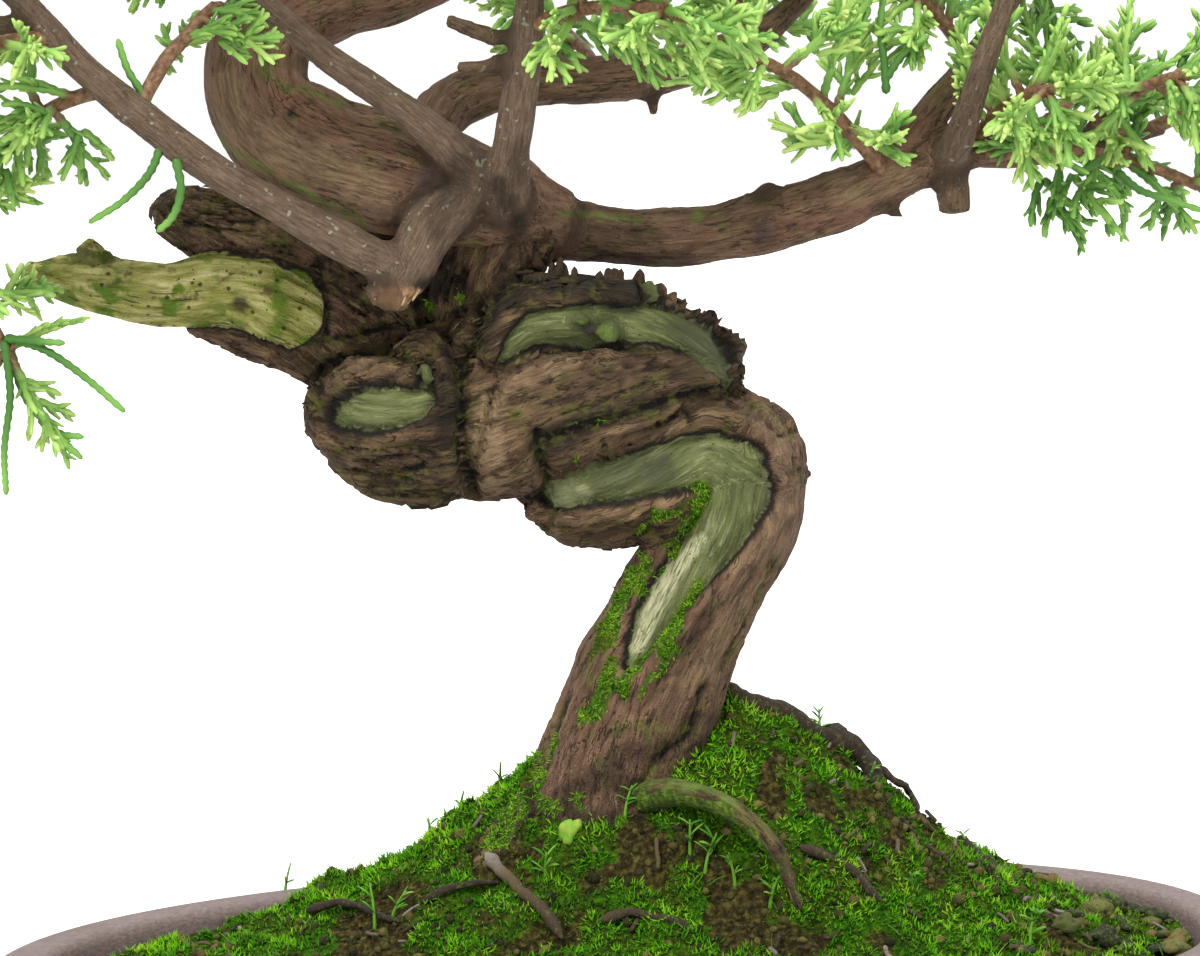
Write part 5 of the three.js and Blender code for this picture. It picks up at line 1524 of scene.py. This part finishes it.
POT_SIDES = 120
CLOSING = np.array([0.75, 0.5, 0.25])
CLAY = clay_paint()
angle = np.linspace(0, FULL_TURN, POT_SIDES, endpoint=False)
walls = [np.stack([*oval(inset, angle), np.full(POT_SIDES, height)], -1) for inset, height in pot_profile()]
under = [walls[0] * (f, f, 1) for f in CLOSING[::-1]]
inside = [walls[-1] * (f, f, 1) for f in CLOSING]
rings = under + walls + inside
poles = np.array([[0, 0, POT["foot"]], [0, 0, POT["floor"]]])
pot = Shape()
pot.add(np.vstack(rings + [poles]), ring_faces(len(rings), POT_SIDES))
pot_piece = pot.make("pot_body", CLAY, "clay", "pot", put=pot_to_world)
for side in (-1, 1):
    bpy.ops.mesh.primitive_cylinder_add(vertices=48, radius=DRAIN["radius"] * MM, depth=0.03)
    drill = bpy.context.object
    drill.location = pot_to_world([side * DRAIN["across"], 0, DRAIN["height"]])
    bore = pot_piece.modifiers.new("drain", "BOOLEAN")
    bore.operation, bore.object, bore.solver = "DIFFERENCE", drill, "EXACT"
    bpy.context.view_layer.update()
    drilled = bpy.data.meshes.new_from_object(pot_piece.evaluated_get(bpy.context.evaluated_depsgraph_get()))
    pot_piece.modifiers.clear()
    pot_piece.data = drilled
    bpy.data.objects.remove(drill)

# Feet: sections of one as (height in mm, share of its full size)
FOOT = {"angle": 0.62, "spread": 0.2, "inset": 19, "width": 8}
FOOT_SECTIONS = ((0, 0.9), (0.25, 0.95), (0.9, 0.985), (2.2, 1), (5, 1), (8, 1.03))
feet = Shape()
for angle in (FOOT["angle"], math.pi - FOOT["angle"], math.pi + FOOT["angle"], -FOOT["angle"]):
    turns = angle + np.linspace(-1, 1, 13) * FOOT["spread"]
    outer = np.stack(oval(FOOT["inset"], turns), -1)
    inner = np.stack(oval(FOOT["inset"] + FOOT["width"], turns[::-1]), -1)
    outline = np.vstack([outer, inner])
    centre = outline.mean(0)
    rings = []
    for height, shrink in FOOT_SECTIONS:
        rings.append(np.column_stack([centre + (outline - centre) * shrink, np.full(len(outline), height)]))
    ends = np.array([[*centre, 0], [*centre, FOOT_SECTIONS[-1][0]]])
    feet.add(np.vstack(rings + [ends]), ring_faces(len(rings), len(outline)))
feet.make("pot_feet", CLAY, "clay", put=pot_to_world)


# Foliage: the cords of each spray's solid, drawn again with scales and with finer cords on them
SAME_POINT = 2e-6


def welded(node):
    """A node's points in tree axes and its triangles, without doubled points."""
    mesh = node.data
    mesh.calc_loop_triangles()
    at = read(mesh.vertices, "co", 3)
    corners = read(mesh.loop_triangles, "vertices", 3, int)
    grid = np.round(at / SAME_POINT).astype(np.int64)
    _, first, index = np.unique(grid, axis=0, return_index=True, return_inverse=True)
    return to_tree(at[first]), index.ravel()[corners]


def cords_of(node):
    """Stems of the shoots as paths from root to tip, and side cords as (root, tip)."""
    points, triangles = welded(node)
    around = [set() for _ in points]
    third = {}
    for a, b, c in triangles.tolist():
        around[a] |= {b, c}
        around[b] |= {a, c}
        around[c] |= {a, b}
        for u, v, w in ((a, b, c), (b, c, a), (c, a, b)):
            third.setdefault(frozenset((u, v)), []).append(w)
    spikes = {}
    for i, near in enumerate(around):
        if len(near) in (3, 4):
            foot = points[list(near)].mean(0)
            if np.linalg.norm(points[i] - foot) > (2.6 if len(near) == 4 else 2.0):
                spikes[i] = foot
    side_cords = [(foot, points[i]) for i, foot in spikes.items() if len(around[i]) == 4]
    stems = []
    for tip in (i for i in spikes if len(around[i]) == 3):
        ring, seen = sorted(around[tip]), {tip}
        path = [points[tip], points[ring].mean(0)]
        while True:
            back = set()
            for k in range(3):
                u, v = ring[k], ring[(k + 1) % 3]
                for w in third.get(frozenset((u, v)), []):
                    if w not in seen:
                        back |= around[w] - {u, v} if w in spikes else {w}
            back -= set(ring)
            if len(back) != 3:
                break
            centre = points[sorted(back)].mean(0)
            step, before = centre - path[-1], path[-1] - path[-2]
            length = np.linalg.norm(step)
            if not 1.5 < length < 6.5 or step.dot(before) < 0.8 * length * np.linalg.norm(before):
                break
            seen |= set(ring)
            ring = sorted(back)
            path.append(centre)
        stems.append(np.array(path[::-1]))
    return stems, side_cords


class Foliage(Shape):
    """Cords of one spray, each with scales along it."""

    def cord(self, path, root, tip, sides, tone, woody=(0.0, 0.0)):
        length = np.linalg.norm(np.diff(path, axis=0), axis=1).sum()
        count = max(3, int(length / (0.75 if sides > 4 else 1.0)) + 1)
        t, given = np.linspace(0, 1, count), np.linspace(0, 1, len(path))
        path = np.stack([np.interp(t, given, path[:, c]) for c in range(3)], -1)
        scales = 1 + 0.13 * np.where(np.arange(count) % 2, 1, -1)
        radius = (root + (tip - root) * t) * scales
        radius[-1] *= 0.7
        points, faces = tube(path, radius, sides, turn=draw.random() * 6)
        along = np.concatenate([np.repeat(t, sides), [0, 1]])
        self.add(points, faces, tone=tone, tip=along, woody=woody[0] + (woody[1] - woody[0]) * along)


def bent(start, end, sag, side, count=9):
    """A gently curved path between two points."""
    t = np.linspace(0, 1, count)[:, None]
    bow = (side * sag + np.array([0, 0, 0.05])) * np.linalg.norm(end - start)
    return start + (end - start) * t + bow * 4 * t * (1 - t)


def unit(v):
    return v / max(np.linalg.norm(v), 1e-9)


draw = np.random.default_rng(48)


def fork(foliage, start, end, root, tone, woody, plane):
    """A cord with smaller cords off its two sides, all in one plane, as juniper has them."""
    way = end - start
    length = np.linalg.norm(way)
    way = way / length
    plane = unit(plane - way * plane.dot(way) + draw.normal(0, 0.2, 3))
    foliage.cord(bent(start, end, draw.uniform(-0.07, 0.07), plane), root, root * 0.8, 4, tone, woody)
    steps = int(length / 2.1)
    for k in range(steps):
        t = 0.2 + 0.66 * (k + 0.5 * draw.random()) / steps
        at = start + way * length * t
        long = draw.uniform(0.26, 0.44) * length * (1.25 - 0.8 * t) + 0.9
        out = unit(way * 0.95 + plane * (0.6 if k % 2 else -0.6) + draw.normal(0, 0.12, 3))
        reach = np.array([at, at + out * long * 0.5, at + out * long + np.array([0, 0, 0.08 * long])])
        foliage.cord(reach, root * 0.85, root * 0.62, 3, tone + draw.uniform(-0.12, 0.12))


LEAF_TONES = [(0.0, (62, 106, 42)), (0.35, (94, 138, 60)), (0.65, (124, 162, 76)), (1.0, (160, 188, 98))]


def leaf_paint():
    p = Paint("foliage", roughness=0.55, specular=0.25)
    tone = p.value("tone")
    green = p.ramp(tone, *LEAF_TONES)
    fresh = p.ramp(tone, (0.0, (104, 152, 66)), (0.5, (146, 184, 90)), (1.0, (190, 210, 120)))
    twig = p.ramp(p.noise(1.1, 4), (0.3, (74, 52, 36)), (0.5, (108, 78, 54)), (0.7, (134, 106, 78)))
    colour = p.over(
        green, (p.step(p.value("tip"), 0.35, 1.0), fresh), (p.step(p.value("woody"), 0.35, 0.6), twig)
    )
    p.shader.inputs["Subsurface Weight"].default_value = 0.12
    p.shader.inputs["Subsurface Radius"].default_value = (0.4 * MM, 0.8 * MM, 0.2 * MM)
    return p.finish(colour, p.noise(1.6, 3), 0.18, 0.6)


LEAF = leaf_paint()
# Radii of the cords in mm: of stems and single cords at root and tip, of side cords and the forks on stems
STEM_CORD, SINGLE_CORD, SIDE_CORD, TWIG_CORD = (0.82, 0.56), (0.74, 0.55), 0.68, 0.56
# Long single cords on the photograph: the spray, depth in mm, and (pixel across, pixel down) along each
SINGLE_CORDS = [
    ("left_hanging", -25, [(8, 338), (45, 350), (86, 378), (124, 411)]),
    ("left_hanging", -26, [(6, 338), (36, 341), (64, 343)]),
    ("left_hanging", -24, [(9, 342), (24, 396), (52, 430), (81, 458)]),
    ("left_hanging", -24, [(40, 420), (60, 434), (83, 437)]),
    ("left_hanging", -26, [(4, 342), (10, 395), (4, 450), (6, 494)]),
    ("left_twig", -30, [(162, 142), (150, 172), (124, 200), (90, 222)]),
    ("left_twig", -31, [(176, 160), (181, 190), (173, 216), (158, 231)]),
    ("left_low", -31, [(152, 124), (146, 100), (128, 70), (118, 40)]),
    ("right_trailing", -6, [(1118, 172), (1140, 190), (1168, 199), (1204, 211)]),
    ("right_trailing", -6, [(1080, 174), (1104, 158), (1128, 140)]),
    ("right_inner", -10, [(886, 92), (884, 60), (880, 30), (884, -10)]),
    ("right_inner", -10, [(886, 78), (902, 56), (928, 36)]),
]
for name, (start, end) in TWIGS.items():
    node = frame["nodes"]["spray_" + name]
    stems, side_cords = cords_of(node)
    foliage = Foliage()
    start, end = np.array(start, float), np.array(end, float)
    bend = (start + end) / 2 + (0, 0, 0.16 * np.linalg.norm(end - start))
    t = np.linspace(0, 1, 24)[:, None]
    twig = (1 - t) ** 2 * start + 2 * t * (1 - t) * bend + t**2 * end
    twig = twig + np.stack([wave(twig / 6, 60 + k) for k in range(3)], -1) * 0.4 * t * (1 - t) * 4
    twig_radius = (1.3 - 0.4 * t[:, 0]) * (1 + 0.08 * wave(twig / 1.4, 63))
    points, faces = tube(twig, twig_radius, 9)
    foliage.add(points, faces, tone=0.5, tip=0.0, woody=1.0)
    for k, path in enumerate(stems):
        foot = twig[np.linalg.norm(twig - path[0], axis=1).argmin()]
        if np.linalg.norm(foot - path[0]) > 1.5:
            stems[k] = np.vstack([foot, (foot + path[0]) / 2, path])
    mood = draw.uniform(0.15, 0.6)
    low = np.min([path.min(0) for path in stems], 0)
    high = np.max([path.max(0) for path in stems], 0)
    for k in range(COUNTS["extra_stems"]):
        at = twig[draw.integers(6, 24)]
        out = unit(draw.normal(0, 1, 3) + unit(end - start) * 0.9)
        tip = np.clip(at + out * draw.uniform(8, 14), low, high)
        if np.linalg.norm(tip - at) > 6:
            sideways = unit(np.cross(out, (0.3, 0.2, 1)))
            stems.append(bent(at, tip, draw.uniform(-0.05, 0.05), sideways, 4))
    for path in stems:
        tone = np.clip(mood + draw.uniform(-0.2, 0.3), 0, 1)
        foliage.cord(path, *STEM_CORD, 5, tone, (0.75, -0.9))
        plane = unit(np.cross(path[-1] - path[0], draw.normal(0, 1, 3)))
        for k in range(1, len(path)):
            for sign in (1, -1):
                if draw.random() > 0.68:
                    continue
                at = path[k - 1] + (path[k] - path[k - 1]) * draw.random()
                out = unit(path[k] - path[k - 1] + 0.7 * sign * plane + draw.normal(0, 0.2, 3))
                long = draw.uniform(4.2, 7.6) * (1.15 - 0.6 * k / len(path))
                own_tone = np.clip(tone + draw.uniform(-0.15, 0.15), 0, 1)
                fork(foliage, at, at + out * long, TWIG_CORD, own_tone, (0, 0), plane)
    for root, tip in side_cords:
        tone = np.clip(mood + draw.uniform(-0.25, 0.35), 0, 1)
        fork(foliage, root, tip, SIDE_CORD, tone, (0.25, -0.6), draw.normal(0, 1, 3))
    for spray, depth, trail in SINGLE_CORDS:
        if spray == name:
            path = spline(np.array([on_photo(u, v, depth) for u, v in trail]), 16)
            foliage.cord(path, *SINGLE_CORD, 5, 0.05, (0.3, -0.6))
    foliage.make("foliage_" + name, LEAF, "foliage", "spray_" + name)

# Camera, floor and light
e = CAMERA["elevation"]
forward = Vector((-math.sin(TREE_TURN) * math.cos(e), math.cos(TREE_TURN) * math.cos(e), -math.sin(e)))
target = Vector(to_world([0, 0, CAMERA["height"]]))
camera_data = bpy.data.cameras.new("camera")
camera_data.lens = CAMERA["lens"]
camera_data.sensor_width = 36
camera_data.clip_start, camera_data.clip_end = 0.01, 50
camera = bpy.data.objects.new("camera", camera_data)
camera.location = target - forward * CAMERA["distance"] * MM
camera.rotation_euler = forward.to_track_quat("-Z", "Y").to_euler()
bpy.context.scene.collection.objects.link(camera)
bpy.context.scene.camera = camera

bpy.ops.mesh.primitive_circle_add(vertices=96, radius=9, fill_type="NGON", location=(0, 0, -0.0002))
floor = bpy.context.object
floor.name = "floor"
floor_paint = Paint("floor", roughness=0.9, specular=0.1)
floor_paint.shader.inputs["Base Color"].default_value = linear(240, 240, 240)
floor.data.materials.append(floor_paint.material)

world = bpy.data.worlds.new("studio")
bpy.context.scene.world = world
world.use_nodes = True
backdrop = world.node_tree.nodes["Background"]
backdrop.inputs["Color"].default_value = (1, 1, 1, 1)
rays = world.node_tree.nodes.new("ShaderNodeLightPath")
bright = world.node_tree.nodes.new("ShaderNodeMapRange")
bright.inputs["To Min"].default_value = 0.8
bright.inputs["To Max"].default_value = 1.1
world.node_tree.links.new(rays.outputs["Is Camera Ray"], bright.inputs["Value"])
world.node_tree.links.new(bright.outputs["Result"], backdrop.inputs["Strength"])
bpy.context.scene.view_settings.view_transform = "Standard"


def sun(name, azimuth, elevation, spread, power):
    data = bpy.data.lights.new(name, "SUN")
    data.angle, data.energy = math.radians(spread), power
    light = bpy.data.objects.new(name, data)
    a, up = math.radians(azimuth), math.radians(elevation)
    back = Vector((math.sin(a) * math.cos(up), -math.cos(a) * math.cos(up), math.sin(up)))
    light.rotation_euler = (-back).to_track_quat("-Z", "Y").to_euler()
    bpy.context.scene.collection.objects.link(light)


sun("key", azimuth=-45, elevation=50, spread=35, power=3.8)
sun("fill", azimuth=40, elevation=30, spread=60, power=1.2)
sun("back", azimuth=165, elevation=55, spread=50, power=1.6)

bpy.context.view_layer.update()
